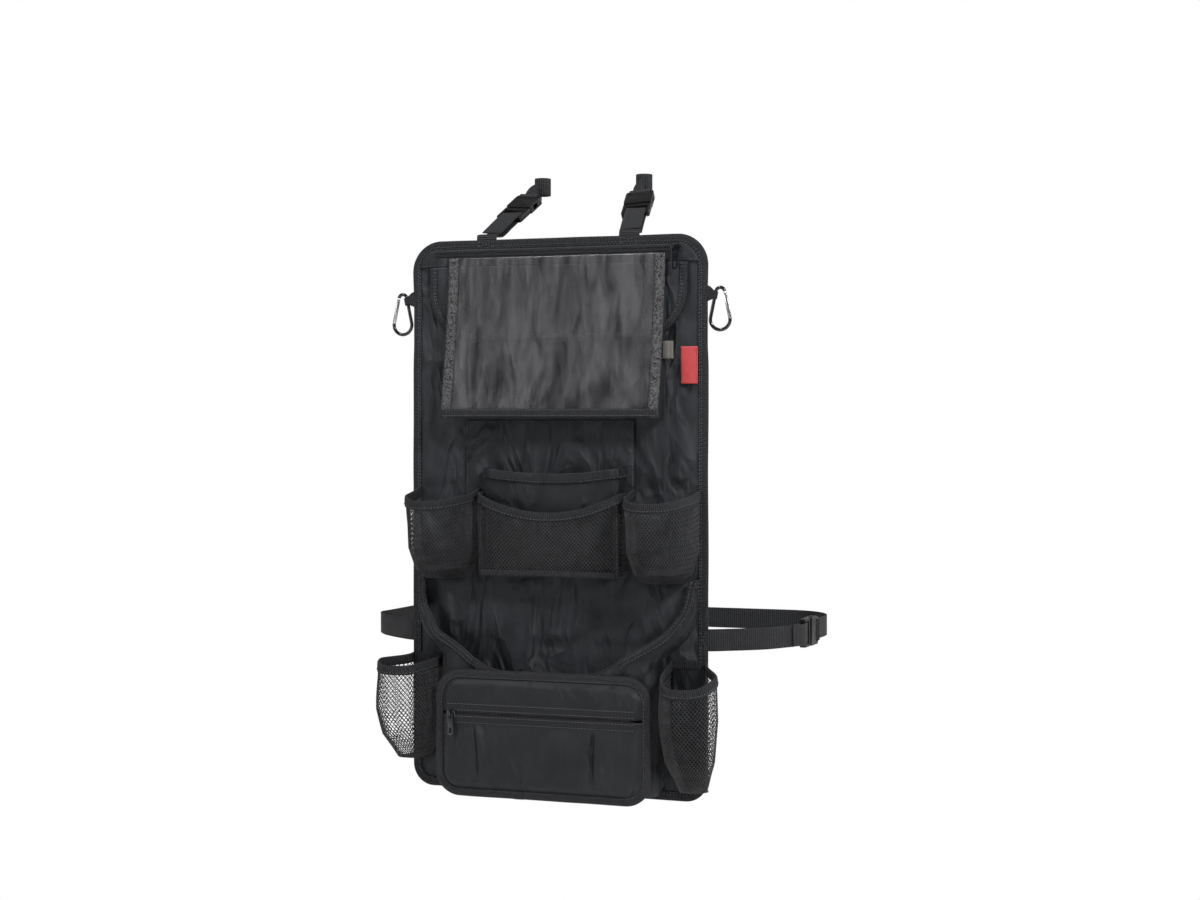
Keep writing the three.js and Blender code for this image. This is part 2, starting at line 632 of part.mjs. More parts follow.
// Big pocket across the lower part, with its rim in a wide curve
const bigTub = tub({
  x: 0, back: FRONT_FACE, wall: CLOTH, power: 6, segments: 10,
  stations: [
    { drop: BIG_TOP - 8, half: BIG_FLARE, depth: 8 },
    { drop: BIG_TOP + 34, half: BIG_FLARE, depth: 20 },
    { drop: BIG_TOP + 62, half: BIG_FLARE - 9, depth: 31 },
    { drop: BOTTLES[1].top - 3, half: BIG_HALF, depth: 38 },
    { drop: FRONT_TOP, half: BIG_HALF, depth: BIG_DEPTH },
    { drop: FRONT_BOTTOM - 24, half: BIG_HALF, depth: BIG_DEPTH },
    { drop: BIG_BOTTOM, half: BIG_HALF - 8, depth: BIG_DEPTH - 7 },
  ],
});
const BIG_STEPS = 6;
const bigRimHalf = Array.from({ length: BIG_STEPS + 1 }, (_, i) => {
  const angle = (Math.PI / 2) * (i / BIG_STEPS);
  return [
    BIG_FLAT + (BIG_REACH - BIG_FLAT) * Math.sin(angle),
    BIG_LOW - (BIG_LOW - BIG_TOP) * (1 - Math.cos(angle)),
  ];
});
bigRimHalf.push([BIG_FLARE + 4, BIG_TOP - 0.5]);
const bigRim = [...bigRimHalf.map(([x, drop]) => [-x, drop]).reverse(), ...bigRimHalf];
const big = boundPocket(bigTub, rimAlongX(bigRim), RIM_BAND);
add('big_pocket', big.wall, cloth);
add('big_pocket_binding', big.rim, tape);

// Front zip pocket on the big one: a flat back, and a front that stands up inside its binding
const frontBack = FRONT_FACE - BIG_DEPTH - TAPE - 2 * SEAT;
const frontEdge = 2 * FRONT_T + 2 * TAPE + 3 * SEAT;

function frontRing(inset, y) {
  const r = FRONT_R - Math.min(inset, FRONT_R - 6);
  const x1 = FRONT_HALF - inset;
  const z0 = level(FRONT_BOTTOM) + inset;
  const z1 = level(FRONT_TOP) - inset;
  return roundedOutline(-x1, x1, z0, z1, r, r).getPoints(5).slice(0, -1)
    .map((p) => new THREE.Vector3(p.x, y, p.y));
}

function frontPlate(inset, yBack, depth) {
  return loft([frontRing(inset, yBack), frontRing(inset, yBack - depth)]);
}
const frontFlange = TAPE + SEAT;
add('zip_pocket_back', frontPlate(frontFlange, frontBack - frontFlange, FRONT_T), cloth);
const shellBack = frontBack - frontFlange - FRONT_T - SEAT;
const raise = FRONT_BAND + SEAT;
const shellOuter = frontPlate(frontFlange, shellBack, FRONT_T).add(loft([
  frontRing(raise, shellBack), frontRing(raise, shellBack - FRONT_T),
  frontRing(raise + FRONT_SLOPE, shellBack - FRONT_T - FRONT_RISE),
]));
const shellInner = loft([
  frontRing(raise + FRONT_T, shellBack + 1), frontRing(raise + FRONT_T, shellBack),
  frontRing(raise + FRONT_SLOPE, shellBack - FRONT_RISE),
]);
const frontZipZ = level(FRONT_ZIP_DROP);
const frontFace = shellBack - FRONT_T - FRONT_RISE;
const tapeHalf = FRONT_HALF - raise - FRONT_SLOPE;
const pleats = PLEATS_X.map((x) => sideSlab([
  [frontFace - 1, level(FRONT_BOTTOM) + raise + FRONT_SLOPE + 2],
  [frontFace + FRONT_T / 2, level(FRONT_BOTTOM) + raise + FRONT_SLOPE + 8],
  [frontFace + FRONT_T / 2, frontZipZ - FRONT_ZIP_TAPE - 4],
  [frontFace - 1, frontZipZ - FRONT_ZIP_TAPE - 2],
], x - PLEAT_W / 2, PLEAT_W));
const frontShell = shellOuter.subtract(shellInner).subtract(Manifold.union(pleats));
const farBox = (z0, z1) => box(-PANEL_W, PANEL_W, 20, -PANEL_W, z0, z1);
const zipSlot = 1.5;
add('zip_pocket_upper_front', frontShell.intersect(farBox(frontZipZ + zipSlot, TOP)), cloth);
add('zip_pocket_lower_front', frontShell.intersect(farBox(level(2 * PANEL_H), frontZipZ - zipSlot)), cloth);
const frontBinding = frontPlate(0, frontBack, frontEdge)
  .subtract(frontPlate(FRONT_BAND, frontBack + 1, frontEdge + 2))
  .subtract(frontPlate(TAPE, frontBack - TAPE, frontEdge - 2 * TAPE));
add('zip_pocket_binding', frontBinding, tape);
for (const [word, sign] of [['upper', 1], ['lower', -1]]) {
  add(`pocket_zip_tape_${word}`, box(
    -tapeHalf, tapeHalf, frontFace - SEAT, frontFace - SEAT - TAPE_ZIP,
    frontZipZ + sign * ZIP_GAP, frontZipZ + sign * FRONT_ZIP_TAPE,
  ), tape);
}
zipSlider(['pocket_zip_slider', 'pocket_zip_pull'], -tapeHalf + SLIDER_L / 2 + 1, frontFace - SEAT - TAPE_ZIP, frontZipZ);

// Bottle pockets on the two lower corners
for (const { side, word, top, frontDrop, bottom } of BOTTLES) {
  const x = side * BOTTLE_CENTRE;
  const taper = [[-14, BOTTLE_MOUTH, 0], [60, 0, 1], [(bottom - top) * 0.76, 6, 10], [bottom - top, 19, 34]];
  const bottleTub = tub({
    x, back: FRONT_FACE, wall: NET, power: 3, segments: 8, closed: true,
    stations: taper.map(([down, in_, up]) => ({ drop: top + down, half: BOTTLE_HALF - in_, depth: BOTTLE_DEPTH - up })),
  });
  const bottle = boundPocket(bottleTub, rimAlongY(top, top + frontDrop, BOTTLE_DEPTH, FRONT_FACE));
  const gaps = netGaps({
    x, back: FRONT_FACE, power: 3, rows: 3, columns: 9, from: 0.06, to: 0.94, size: [13, 14],
    row: (r) => top + frontDrop + 20 + 16 * r,
    half: () => BOTTLE_HALF - BOTTLE_MOUTH / 2,
    depth: () => BOTTLE_DEPTH,
  });
  add(`bottle_mesh_${word}`, bottle.wall.subtract(gaps), netting);
  add(`bottle_binding_${word}`, bottle.rim, tape);
}

// Side-release buckle in its own frame: +Z runs from the male half into the female half
function femaleBuckle() {
  const half = BUCKLE_T / 2;
  const shell = slab(roundedOutline(-BUCKLE_HALF, BUCKLE_HALF, SEAT, FEMALE_L, 4, 1.5), half, BUCKLE_T, 3);
  const windows = [-1, 1].map((s) => box(s * 9.5, s * (BUCKLE_HALF + 2), -2.7, 2.7, 7.5, 16.5));
  return shell
    .subtract(box(-BUCKLE_HALF + 2.8, BUCKLE_HALF - 2.8, -2.7, 2.7, -1, PRONG_L + 2))
    .subtract(Manifold.union(windows))
    .subtract(box(-WEB / 2 - 0.8, WEB / 2 + 0.8, -half - 1, half + 1, PRONG_L + 4.6, FEMALE_L - 4));
}

function maleBuckle() {
  const rail = BUCKLE_HALF;
  const frame = slab(roundedOutline(-rail, rail, -MALE_L, -SEAT, 1.5, 3), 3.2, 6.4, 3)
    .subtract(box(-WEB / 2 - 0.8, WEB / 2 + 0.8, -5, 5, -13.5, -7))
    .subtract(box(-WEB / 2 - 0.8, WEB / 2 + 0.8, -5, 5, -MALE_L + 3, -16.5))
    .subtract(box(-WEB / 2 - 0.8, WEB / 2 + 0.8, 1.3, 5, -MALE_L - 1, -7))
    .subtract(box(-WEB / 2 - 0.8, WEB / 2 + 0.8, -5, -1.3, -MALE_L - 1, -7));
  const guide = box(-1.6, 1.6, -1.6, 1.6, -1, PRONG_L - 2);
  const prongs = [-1, 1].map((s) => slab(new THREE.Shape([
    [8, -1], [10.4, -1], [10.8, 7.9], [13.3, 8.4], [13.3, 12], [10.6, PRONG_L], [8.6, PRONG_L],
  ].map(([u, v]) => new THREE.Vector2(s * u, v))), 1.8, 3.6));
  return Manifold.union([frame, guide, ...prongs]);
}

// Webbing profile in a buckle's own frame: up behind the two bars, over the inner one and back down in front
const lockPath = (tail) => [
  [3.2, -40], [3.2, -22], [2.6, -14.5], [1.4, -10.6], [-1.4, -10.6], [-2.6, -14.5], [-3.2, -22], [-3.2, -40], [-2.4, -tail],
];

function buckleFrame(origin, along, across) {
  const up = along.clone().normalize();
  const wide = across.clone().addScaledVector(up, -across.dot(up)).normalize();
  const face = up.clone().cross(wide);
  return new THREE.Matrix4().makeBasis(wide, face, up).setPosition(origin);
}

// Stations of a strap in a buckle's frame, from [thickness, length] pairs
function lockStations(matrix, path) {
  const across = new THREE.Vector3().setFromMatrixColumn(matrix, 0);
  return path.map(([y, z]) => ({ at: new THREE.Vector3(0, y, z).applyMatrix4(matrix), across }));
}

// Webbing sewn round the bar of the female half
function barLoop() {
  const barMiddle = FEMALE_L - 2;
  const half = BUCKLE_T / 2 + SEAT;
  const outer = box(-WEB / 2, WEB / 2, -half - WEB_T, half + WEB_T, barMiddle - 2 - SEAT - WEB_T, FEMALE_L + SEAT + WEB_T);
  return outer.subtract(box(-WEB, WEB, -half, half, barMiddle - 2 - SEAT, FEMALE_L + SEAT));
}

// Top strap on the left, mirrored to the right: panel edge, male half, female half, loop round the headrest post
{
  const addPair = (name, body, material) => {
    add(`${name}_left`, body, material);
    add(`${name}_right`, placed(body, new THREE.Matrix4().makeScale(-1, 1, 1)), material);
  };
  const foot = new THREE.Vector3(-STRAP_X, EDGE_MIDDLE, TOP);
  const post = new THREE.Vector3(-POST_X, POST_Y, TOP + POST_RISE);
  const along = post.clone().sub(foot);
  const reach = along.length();
  along.normalize();
  const joint = reach - POST_R - 3 * WEB_T - FEMALE_L - TWIST_L;
  const matrix = buckleFrame(foot.clone().addScaledVector(along, joint), along, new THREE.Vector3(1, 0, 0));
  addPair('top_buckle_male', placed(maleBuckle(), matrix), plastic);
  addPair('top_buckle_female', placed(femaleBuckle(), matrix), plastic);
  const edge = new THREE.Vector3(1, 0, 0);
  const strap = ribbon([
    { at: new THREE.Vector3(foot.x, foot.y, TOP - STRAP_GRIP), across: edge },
    { at: new THREE.Vector3(foot.x, foot.y, TOP + 2), across: edge },
    { at: new THREE.Vector3(foot.x, foot.y + 2, TOP + 5.5), across: edge },
    ...lockStations(matrix, [[3.2, -joint + 14], ...lockPath(Math.min(joint - 12, TAIL_L))]),
  ], WEB, WEB_T);
  addPair('top_strap', strap, webbing);
  const ringAt = new THREE.Vector3(0, 0, reach - joint);
  const upright = new THREE.Vector3(0, 0, 1).transformDirection(matrix.clone().invert());
  const twist = ribbon([0, 1, 2, 3, 4].map((i) => ({
    at: new THREE.Vector3(0, 0, FEMALE_L + SEAT + WEB_T / 2 + ((TWIST_L + WEB_T) * i) / 4),
    across: new THREE.Vector3(1, 0, 0).applyAxisAngle(new THREE.Vector3(0, 0, 1), (Math.PI / 2) * (i / 4)),
  })), WEB * TWIST_GATHER, 2 * WEB_T);
  const ringAxis = upright.clone().multiplyScalar((WEB * TWIST_GATHER) / 2);
  const ringBody = rod(POST_R + 2 * WEB_T, ringAt.clone().sub(ringAxis), ringAt.clone().add(ringAxis), 20)
    .subtract(rod(POST_R + WEB_T / 2, ringAt.clone().addScaledVector(ringAxis, -1.5), ringAt.clone().addScaledVector(ringAxis, 1.5), 20));
  addPair('post_loop', placed(barLoop().add(twist).add(ringBody), matrix), webbing);
}

// Side strap: a short piece with the male half on the right, a long one round the seat from the left
const sideZ = level(SIDE_DROP);
const upAcross = new THREE.Vector3(0, 0, 1);
const plan = (points) => points.map(([x, y, z = sideZ]) => ({ at: new THREE.Vector3(x, y, z), across: upAcross }));
const sideMatrix = buckleFrame(
  new THREE.Vector3(SIDE_X, SIDE_BUCKLE_Y, sideZ), new THREE.Vector3(0, 1, 0), upAcross,
);
add('side_buckle_male', placed(maleBuckle(), sideMatrix), plastic);
add('side_buckle_female', placed(femaleBuckle(), sideMatrix), plastic);
const gripX = PANEL_W / 2 - STRAP_GRIP;
add('side_strap_right', ribbon([
  ...plan([
    [gripX, EDGE_MIDDLE], [PANEL_W / 2 + 3, EDGE_MIDDLE], [PANEL_W / 2 + 22, 10], [PANEL_W / 2 + 45, 28],
    [PANEL_W / 2 + 62, 48],
  ]),
  ...lockStations(sideMatrix, lockPath(58)),
], WEB, WEB_T), webbing);
const CORNER_R = 60;
const arc = (cx, cy, from, to) => Array.from({ length: 7 }, (_, i) => {
  const angle = from + ((to - from) * i) / 6;
  return [cx + CORNER_R * Math.cos(angle), cy + CORNER_R * Math.sin(angle)];
});
const wrapX = SIDE_X;
const wrap = ribbon(plan([
  [wrapX, SIDE_BUCKLE_Y + FEMALE_L + SEAT + WEB_T / 2],
  ...arc(wrapX - CORNER_R, SEAT_FRONT_Y - CORNER_R, 0, Math.PI / 2),
  ...arc(-wrapX + CORNER_R, SEAT_FRONT_Y - CORNER_R, Math.PI / 2, Math.PI),
  [-wrapX, 70], [-PANEL_W / 2 - 62, 45], [-PANEL_W / 2 - 45, 28], [-PANEL_W / 2 - 22, 10],
  [-PANEL_W / 2 - 3, EDGE_MIDDLE], [-gripX, EDGE_MIDDLE],
]), WEB, WEB_T);
add('side_strap_wrap', wrap.add(placed(barLoop(), sideMatrix)), webbing);

// Carabiners: a wire bent round two centres, a gate on its outer side, and the ribbon that holds it
const hookAlpha = Math.atan((HOOK_LOW_R - HOOK_TOP_R) / HOOK_SPINE);
const gateAlong = new THREE.Vector3(Math.sin(2 * hookAlpha), 0, -Math.cos(2 * hookAlpha));
const gateOut = new THREE.Vector3(Math.cos(2 * hookAlpha), 0, Math.sin(2 * hookAlpha));
const topCentre = new THREE.Vector3(HOOK_TOP_R, 0, HOOK_RISE);
const lowCentre = new THREE.Vector3(HOOK_LOW_R, 0, HOOK_RISE - HOOK_SPINE);
const gateTop = topCentre.clone().addScaledVector(gateOut, HOOK_TOP_R);
const gateLow = lowCentre.clone().addScaledVector(gateOut, HOOK_LOW_R);
const PIN_DROP = 4; // from the end of the wire to the gate's pin
const PIN_R = 0.7;
const TONGUE_T = 1.4;

function hookWire() {
  const points = [];
  const bend = (centreAt, radius, from, to, steps) => {
    for (let i = 0; i <= steps; i++) {
      const angle = from + ((to - from) * i) / steps;
      points.push(new THREE.Vector3(centreAt.x + radius * Math.cos(angle), 0, centreAt.z + radius * Math.sin(angle)));
    }
  };
  const outer = 2 * hookAlpha;
  bend(topCentre, HOOK_TOP_R, outer, Math.PI, 7);
  bend(lowCentre, HOOK_LOW_R, Math.PI, 2 * Math.PI + outer, 10);
  const sides = 8;
  const rings = points.map((p, i) => {
    const before = points[Math.max(i - 1, 0)];
    const after = points[Math.min(i + 1, points.length - 1)];
    const along = after.clone().sub(before).normalize();
    const across = new THREE.Vector3(0, 1, 0);
    const face = along.clone().cross(across);
    return Array.from({ length: sides }, (_, k) => {
      const angle = (2 * Math.PI * (k + 0.5)) / sides;
      return p.clone().addScaledVector(across, WIRE_R * Math.cos(angle)).addScaledVector(face, WIRE_R * Math.sin(angle));
    });
  });
  return loft(rings);
}

const ACROSS = new THREE.Vector3(0, 1, 0);
const gateBasis = new THREE.Matrix4().makeBasis(gateOut, ACROSS, gateOut.clone().cross(ACROSS)).setPosition(gateTop);
const gateLength = gateTop.distanceTo(gateLow);
const down = gateOut.clone().cross(ACROSS).dot(gateAlong); // +1 or -1: which way the gate runs in its own frame
const alongGate = (t) => down * t;
const tongue = placed(
  box(-1.6, 1.6, -TONGUE_T / 2, TONGUE_T / 2, alongGate(-0.5), alongGate(PIN_DROP + 1.8)), gateBasis,
);
const pinHole = placed(rod(PIN_R + SEAT, new THREE.Vector3(0, -5, alongGate(PIN_DROP)), new THREE.Vector3(0, 5, alongGate(PIN_DROP))), gateBasis);
const gateBar = rod(WIRE_R, new THREE.Vector3(0, 0, alongGate(PIN_DROP - 2.4)), new THREE.Vector3(0, 0, alongGate(gateLength - SEAT)), 10)
  .subtract(box(-3, 3, -TONGUE_T / 2 - SEAT, TONGUE_T / 2 + SEAT, alongGate(0), alongGate(PIN_DROP + 4.2)));

for (const [i, word] of ['left', 'right'].entries()) {
  const matrix = hookPlaces[i];
  add(`carabiner_body_${word}`, placed(hookWire().add(tongue).subtract(pinHole), matrix), enamel);
  add(`carabiner_gate_${word}`, placed(placed(gateBar, gateBasis).subtract(pinHole), matrix), aluminium);
  const pin = rod(PIN_R, new THREE.Vector3(0, -WIRE_R + 0.2, alongGate(PIN_DROP)), new THREE.Vector3(0, WIRE_R - 0.2, alongGate(PIN_DROP)), 10);
  add(`carabiner_pin_${word}`, placed(placed(pin, gateBasis), matrix), aluminium);
  const hole = WIRE_R + SEAT;
  const eyeHalf = 4;
  const eye = rod(hole + RIBBON_T, new THREE.Vector3(0, 0, -eyeHalf), new THREE.Vector3(0, 0, eyeHalf), 12)
    .add(loft([
      [[-1, -1], [1, -1], [1, 1], [-1, 1]].map(([u, v]) => new THREE.Vector3(-RIBBON_REACH, u * RIBBON_T, (v * RIBBON_H) / 2)),
      [[-1, -1], [1, -1], [1, 1], [-1, 1]].map(([u, v]) => new THREE.Vector3(-RIBBON_REACH + STRAP_GRIP + 1, u * RIBBON_T, (v * RIBBON_H) / 2)),
      [[-1, -1], [1, -1], [1, 1], [-1, 1]].map(([u, v]) => new THREE.Vector3(0, u * RIBBON_T, v * eyeHalf)),
    ]))
    .subtract(rod(hole, new THREE.Vector3(0, 0, -RIBBON_H), new THREE.Vector3(0, 0, RIBBON_H), 12));
  add(`carabiner_loop_${word}`, placed(eye, matrix), tape);
}

export default organizer;
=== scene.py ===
"""Hanging organizer for the back of a car seat: its cloth, tape, netting, film, webbing and fittings, on the
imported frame.

Lengths are in millimetres until a mesh is made. x runs to the right, y towards the seat, z up, and drop is
the distance below the panel's top edge.
"""

import math
import random

import bmesh
import bpy
import numpy as np
from mathutils import Matrix, Vector, noise


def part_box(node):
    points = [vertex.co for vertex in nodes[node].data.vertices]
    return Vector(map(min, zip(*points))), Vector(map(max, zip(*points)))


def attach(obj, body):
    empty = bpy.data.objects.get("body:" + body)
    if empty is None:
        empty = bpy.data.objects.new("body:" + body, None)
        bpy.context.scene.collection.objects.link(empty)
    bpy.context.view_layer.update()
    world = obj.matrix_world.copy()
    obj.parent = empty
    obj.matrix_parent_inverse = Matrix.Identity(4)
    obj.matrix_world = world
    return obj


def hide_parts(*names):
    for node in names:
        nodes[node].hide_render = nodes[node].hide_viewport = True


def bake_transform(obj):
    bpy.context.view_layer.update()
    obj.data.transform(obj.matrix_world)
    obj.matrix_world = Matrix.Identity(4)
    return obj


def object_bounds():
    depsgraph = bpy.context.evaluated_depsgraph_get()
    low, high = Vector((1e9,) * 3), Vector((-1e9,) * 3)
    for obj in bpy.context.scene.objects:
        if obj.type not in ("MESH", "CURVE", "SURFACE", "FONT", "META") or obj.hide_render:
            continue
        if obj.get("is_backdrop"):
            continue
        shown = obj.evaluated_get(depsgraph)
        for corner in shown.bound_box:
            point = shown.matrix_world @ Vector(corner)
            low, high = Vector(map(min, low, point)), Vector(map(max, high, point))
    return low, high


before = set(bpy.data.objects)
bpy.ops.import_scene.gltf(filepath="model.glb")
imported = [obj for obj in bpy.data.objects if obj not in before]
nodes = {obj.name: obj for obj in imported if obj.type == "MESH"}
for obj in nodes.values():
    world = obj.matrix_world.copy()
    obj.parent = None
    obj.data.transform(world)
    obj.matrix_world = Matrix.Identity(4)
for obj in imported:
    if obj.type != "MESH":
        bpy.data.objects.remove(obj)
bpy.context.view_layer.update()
chance = random.Random(7)
MM = 0.001

# Sizes taken over from the solids

ORIGIN_DROP = 20.0
PANEL_HALF = 182.0
PANEL_HIGH = 640.0
TOP_CORNER = 36.0
LOW_CORNER = 26.0
PANEL_FRONT = -4.4
PANEL_MIDDLE = -2.3
FRONT_FACE = -4.9
ZIP_DROP = 15.6
ZIP_HALF = 152.0
HEADER_LOW = 31.0
SLEEVE_HALF = 133.0
SLEEVE_TOP = 21.0
SLEEVE_LOW = 207.0
SLEEVE_BACK = -8.0
CUP_X = 134.0
BOTTLE_X = 173.0
STRAP_X = 88.0
WEB = 25.0
WEB_T = 1.5
SIDE_DROP = 457.0


def level(drop):
    """Height z of a distance below the panel's top edge."""
    return ORIGIN_DROP - drop


def wave(x, y, z, size, seed=0.0):
    """Smooth noise between about -1 and 1, with waves of the given size in millimetres."""
    return noise.noise(Vector((x / size + seed * 7.3, y / size + seed * 3.1, z / size - seed * 5.7)))


def ease(a, b, v):
    """0 up to a, 1 from b on, and a smooth rise between."""
    t = min(max((v - a) / (b - a), 0.0), 1.0)
    return t * t * (3 - 2 * t)


# Camera, lamps and backdrop

# The camera of the photograph: its place in millimetres, its turn to the left and downwards, and its lens
CAMERA_AT = (902.4, -2287.6, -192.1)
CAMERA_TURN, CAMERA_FALL = 20.4, 0.75
CAMERA_LENS = 64.02


def place_camera():
    """The camera, looking at the part's front from the right."""
    camera = bpy.data.objects.new("camera", bpy.data.cameras.new("camera"))
    bpy.context.scene.collection.objects.link(camera)
    azimuth, fall = math.radians(CAMERA_TURN), math.radians(CAMERA_FALL)
    forward = Vector(
        (-math.sin(azimuth) * math.cos(fall), math.cos(azimuth) * math.cos(fall), -math.sin(fall))
    )
    camera.location = Vector(CAMERA_AT) * MM
    camera.rotation_euler = forward.to_track_quat("-Z", "Y").to_euler()
    camera.data.sensor_width = 36.0
    camera.data.lens = CAMERA_LENS
    camera.data.clip_start = 0.05
    camera.data.clip_end = 50
    bpy.context.scene.camera = camera


place_camera()
bpy.context.scene.view_settings.view_transform = "Standard"


def linear(hex_colour, alpha=1.0):
    """An sRGB hex colour as linear RGBA."""
    values = [int(hex_colour[i : i + 2], 16) / 255 for i in (1, 3, 5)]
    return (*[v / 12.92 if v <= 0.04045 else ((v + 0.055) / 1.055) ** 2.4 for v in values], alpha)


def add_node(tree, kind, settings=None, **links):
    """A node with its settings; a keyword sets or links the input of that name or, after an underscore, of
    that number.
    """
    node = tree.nodes.new(kind)
    for name, value in (settings or {}).items():
        setattr(node, name, value)
    for name, value in links.items():
        key = int(name[1:]) if name[0] == "_" and name[1:].isdigit() else name.replace("_", " ")
        if isinstance(value, bpy.types.NodeSocket):
            tree.links.new(value, node.inputs[key])
        else:
            node.inputs[key].default_value = value
    return node


def maths(tree, operation, *values):
    """The output of a maths node, from sockets and numbers."""
    links = {f"_{i}": value for i, value in enumerate(values)}
    return add_node(tree, "ShaderNodeMath", {"operation": operation}, **links).outputs[0]


def new_material(name):
    """A material with its node tree and its main shader."""
    material = bpy.data.materials.new(name)
    material.use_nodes = True
    tree = material.node_tree
    shader = next(n for n in tree.nodes if n.type == "BSDF_PRINCIPLED")
    return material, tree, shader


def ramp(tree, factor, stops):
    """A colour that follows a factor through the stops."""
    node = add_node(tree, "ShaderNodeValToRGB", None, Fac=factor)
    elements = node.color_ramp.elements
    while len(elements) < len(stops):
        elements.new(0.5)
    for element, (place, colour) in zip(elements, stops):
        element.position = place
        element.color = linear(colour)
    return node.outputs["Color"]


def woven(name, dark, light, pitch, rough, sheen, depth, twill=True, sheen_patch_size=30.0, spec=0.35, crumple=0.0):
    """Woven cloth on a UV map in millimetres: threads of the given pitch over and under each other, with slow
    lighter patches painted into the colour as sheen, and soft creases crumple mm high.
    """
    material, tree, shader = new_material(name)
    uv = add_node(tree, "ShaderNodeUVMap", {"uv_map": "UVMap"}).outputs["UV"]
    turn = 2 * math.pi / pitch
    split = add_node(tree, "ShaderNodeSeparateXYZ", None, Vector=uv)
    across, along = split.outputs["X"], split.outputs["Y"]
    if twill:
        diagonal = maths(tree, "ADD", across, along)
        first = maths(tree, "MULTIPLY", diagonal, turn)
        second = maths(tree, "MULTIPLY", across, turn * 0.5)
    else:
        first = maths(tree, "MULTIPLY", across, turn)
        second = maths(tree, "MULTIPLY", along, turn)
    one = maths(tree, "SINE", first)
    two = maths(tree, "SINE", second)
    product = maths(tree, "MULTIPLY", one, two)
    threads = maths(tree, "MULTIPLY_ADD", product, 0.5, 0.5)
    position = add_node(tree, "ShaderNodeTexCoord").outputs["Object"]
    slow = add_node(
        tree, "ShaderNodeTexNoise", None, Vector=position, Scale=1000.0 / sheen_patch_size, Detail=3.0, Roughness=0.6
    )
    fine = add_node(tree, "ShaderNodeTexNoise", None, Vector=position, Scale=900.0, Detail=2.0, Roughness=0.7)
    # Painted sheen: the slow noise lightens broad patches of the cloth's colour.
    mixed = maths(tree, "MULTIPLY_ADD", slow.outputs["Fac"], 0.55, 0.0)
    mixed = maths(tree, "MULTIPLY_ADD", threads, 0.28, mixed)
    mixed = maths(tree, "MULTIPLY_ADD", fine.outputs["Fac"], 0.25, mixed)
    tree.links.new(ramp(tree, mixed, [(0.3, dark), (0.75, light)]), shader.inputs["Base Color"])
    rougher = maths(tree, "MULTIPLY_ADD", slow.outputs["Fac"], 0.18, rough - 0.09)
    tree.links.new(rougher, shader.inputs["Roughness"])
    height = maths(tree, "MULTIPLY_ADD", fine.outputs["Fac"], 0.5, threads)
    bump = add_node(tree, "ShaderNodeBump", None, Strength=1.0, Distance=depth * MM, Height=height)
    if crumple:
        drawn = add_node(
            tree, "ShaderNodeMapping", None, Vector=position, Rotation=(0.0, math.radians(24), 0.0),
            Scale=(1.0, 1.0, 0.45)
        )
        folds = add_node(
            tree, "ShaderNodeTexNoise", None, Vector=drawn.outputs[0], Scale=1000.0 / 38, Detail=2.5,
            Roughness=0.5, Distortion=0.6
        )
        centred = maths(tree, "SUBTRACT", folds.outputs["Fac"], 0.5)
        ridge = maths(tree, "ABSOLUTE", centred)
        relief = maths(tree, "MULTIPLY_ADD", ridge, -2.0, folds.outputs["Fac"])
        creased = add_node(tree, "ShaderNodeBump", None, Strength=1.0, Distance=crumple * MM, Height=relief)
        tree.links.new(creased.outputs["Normal"], bump.inputs["Normal"])
    tree.links.new(bump.outputs["Normal"], shader.inputs["Normal"])
    shader.inputs["Sheen Weight"].default_value = sheen
    shader.inputs["Sheen Roughness"].default_value = 0.4
    shader.inputs["Specular IOR Level"].default_value = spec
    return material


def ribbed(name, dark, light, pitch, rough, depth, sheen=0.15, herring=0.0, spec=0.35, rough_yarn=0.5):
    """Grosgrain, webbing or zip tape: ribs across the width (UV x runs along the tape, y across it), with
    threads along them. herring is the width of a herringbone's leg, and rough_yarn how much an uneven yarn
    changes the shade.
    """
    material, tree, shader = new_material(name)
    uv = add_node(tree, "ShaderNodeUVMap", {"uv_map": "UVMap"}).outputs["UV"]
    split = add_node(tree, "ShaderNodeSeparateXYZ", None, Vector=uv)
    along, across = split.outputs["X"], split.outputs["Y"]
    if herring:
        folded = maths(tree, "PINGPONG", across, herring)
        along = maths(tree, "ADD", along, folded)
    turned = maths(tree, "MULTIPLY", along, 2 * math.pi / pitch)
    ribs = maths(tree, "SINE", turned)
    ribs = maths(tree, "MULTIPLY_ADD", ribs, 0.5, 0.5)
    cross = maths(tree, "MULTIPLY", across, 2 * math.pi / (0.6 * pitch))
    cross = maths(tree, "SINE", cross)
    cross = maths(tree, "MULTIPLY_ADD", cross, 0.5, 0.5)
    position = add_node(tree, "ShaderNodeTexCoord").outputs["Object"]
    slow = add_node(tree, "ShaderNodeTexNoise", None, Vector=position, Scale=420.0, Detail=3.0, Roughness=0.7)
    shade = maths(tree, "MULTIPLY_ADD", ribs, 0.45, 0.0)
    shade = maths(tree, "MULTIPLY_ADD", cross, 0.15, shade)
    uneven = maths(tree, "MULTIPLY_ADD", slow.outputs["Fac"], rough_yarn, 0.25 - 0.5 * rough_yarn)
    shade = maths(tree, "ADD", shade, uneven)
    tree.links.new(ramp(tree, shade, [(0.3, dark), (0.75, light)]), shader.inputs["Base Color"])
    height = maths(tree, "MULTIPLY_ADD", cross, 0.35, ribs)
    bump = add_node(tree, "ShaderNodeBump", None, Strength=1.0, Distance=depth * MM, Height=height)
    tree.links.new(bump.outputs["Normal"], shader.inputs["Normal"])
    shader.inputs["Roughness"].default_value = rough
    shader.inputs["Sheen Weight"].default_value = sheen
    shader.inputs["Sheen Roughness"].default_value = 0.4
    shader.inputs["Specular IOR Level"].default_value = spec
    return material


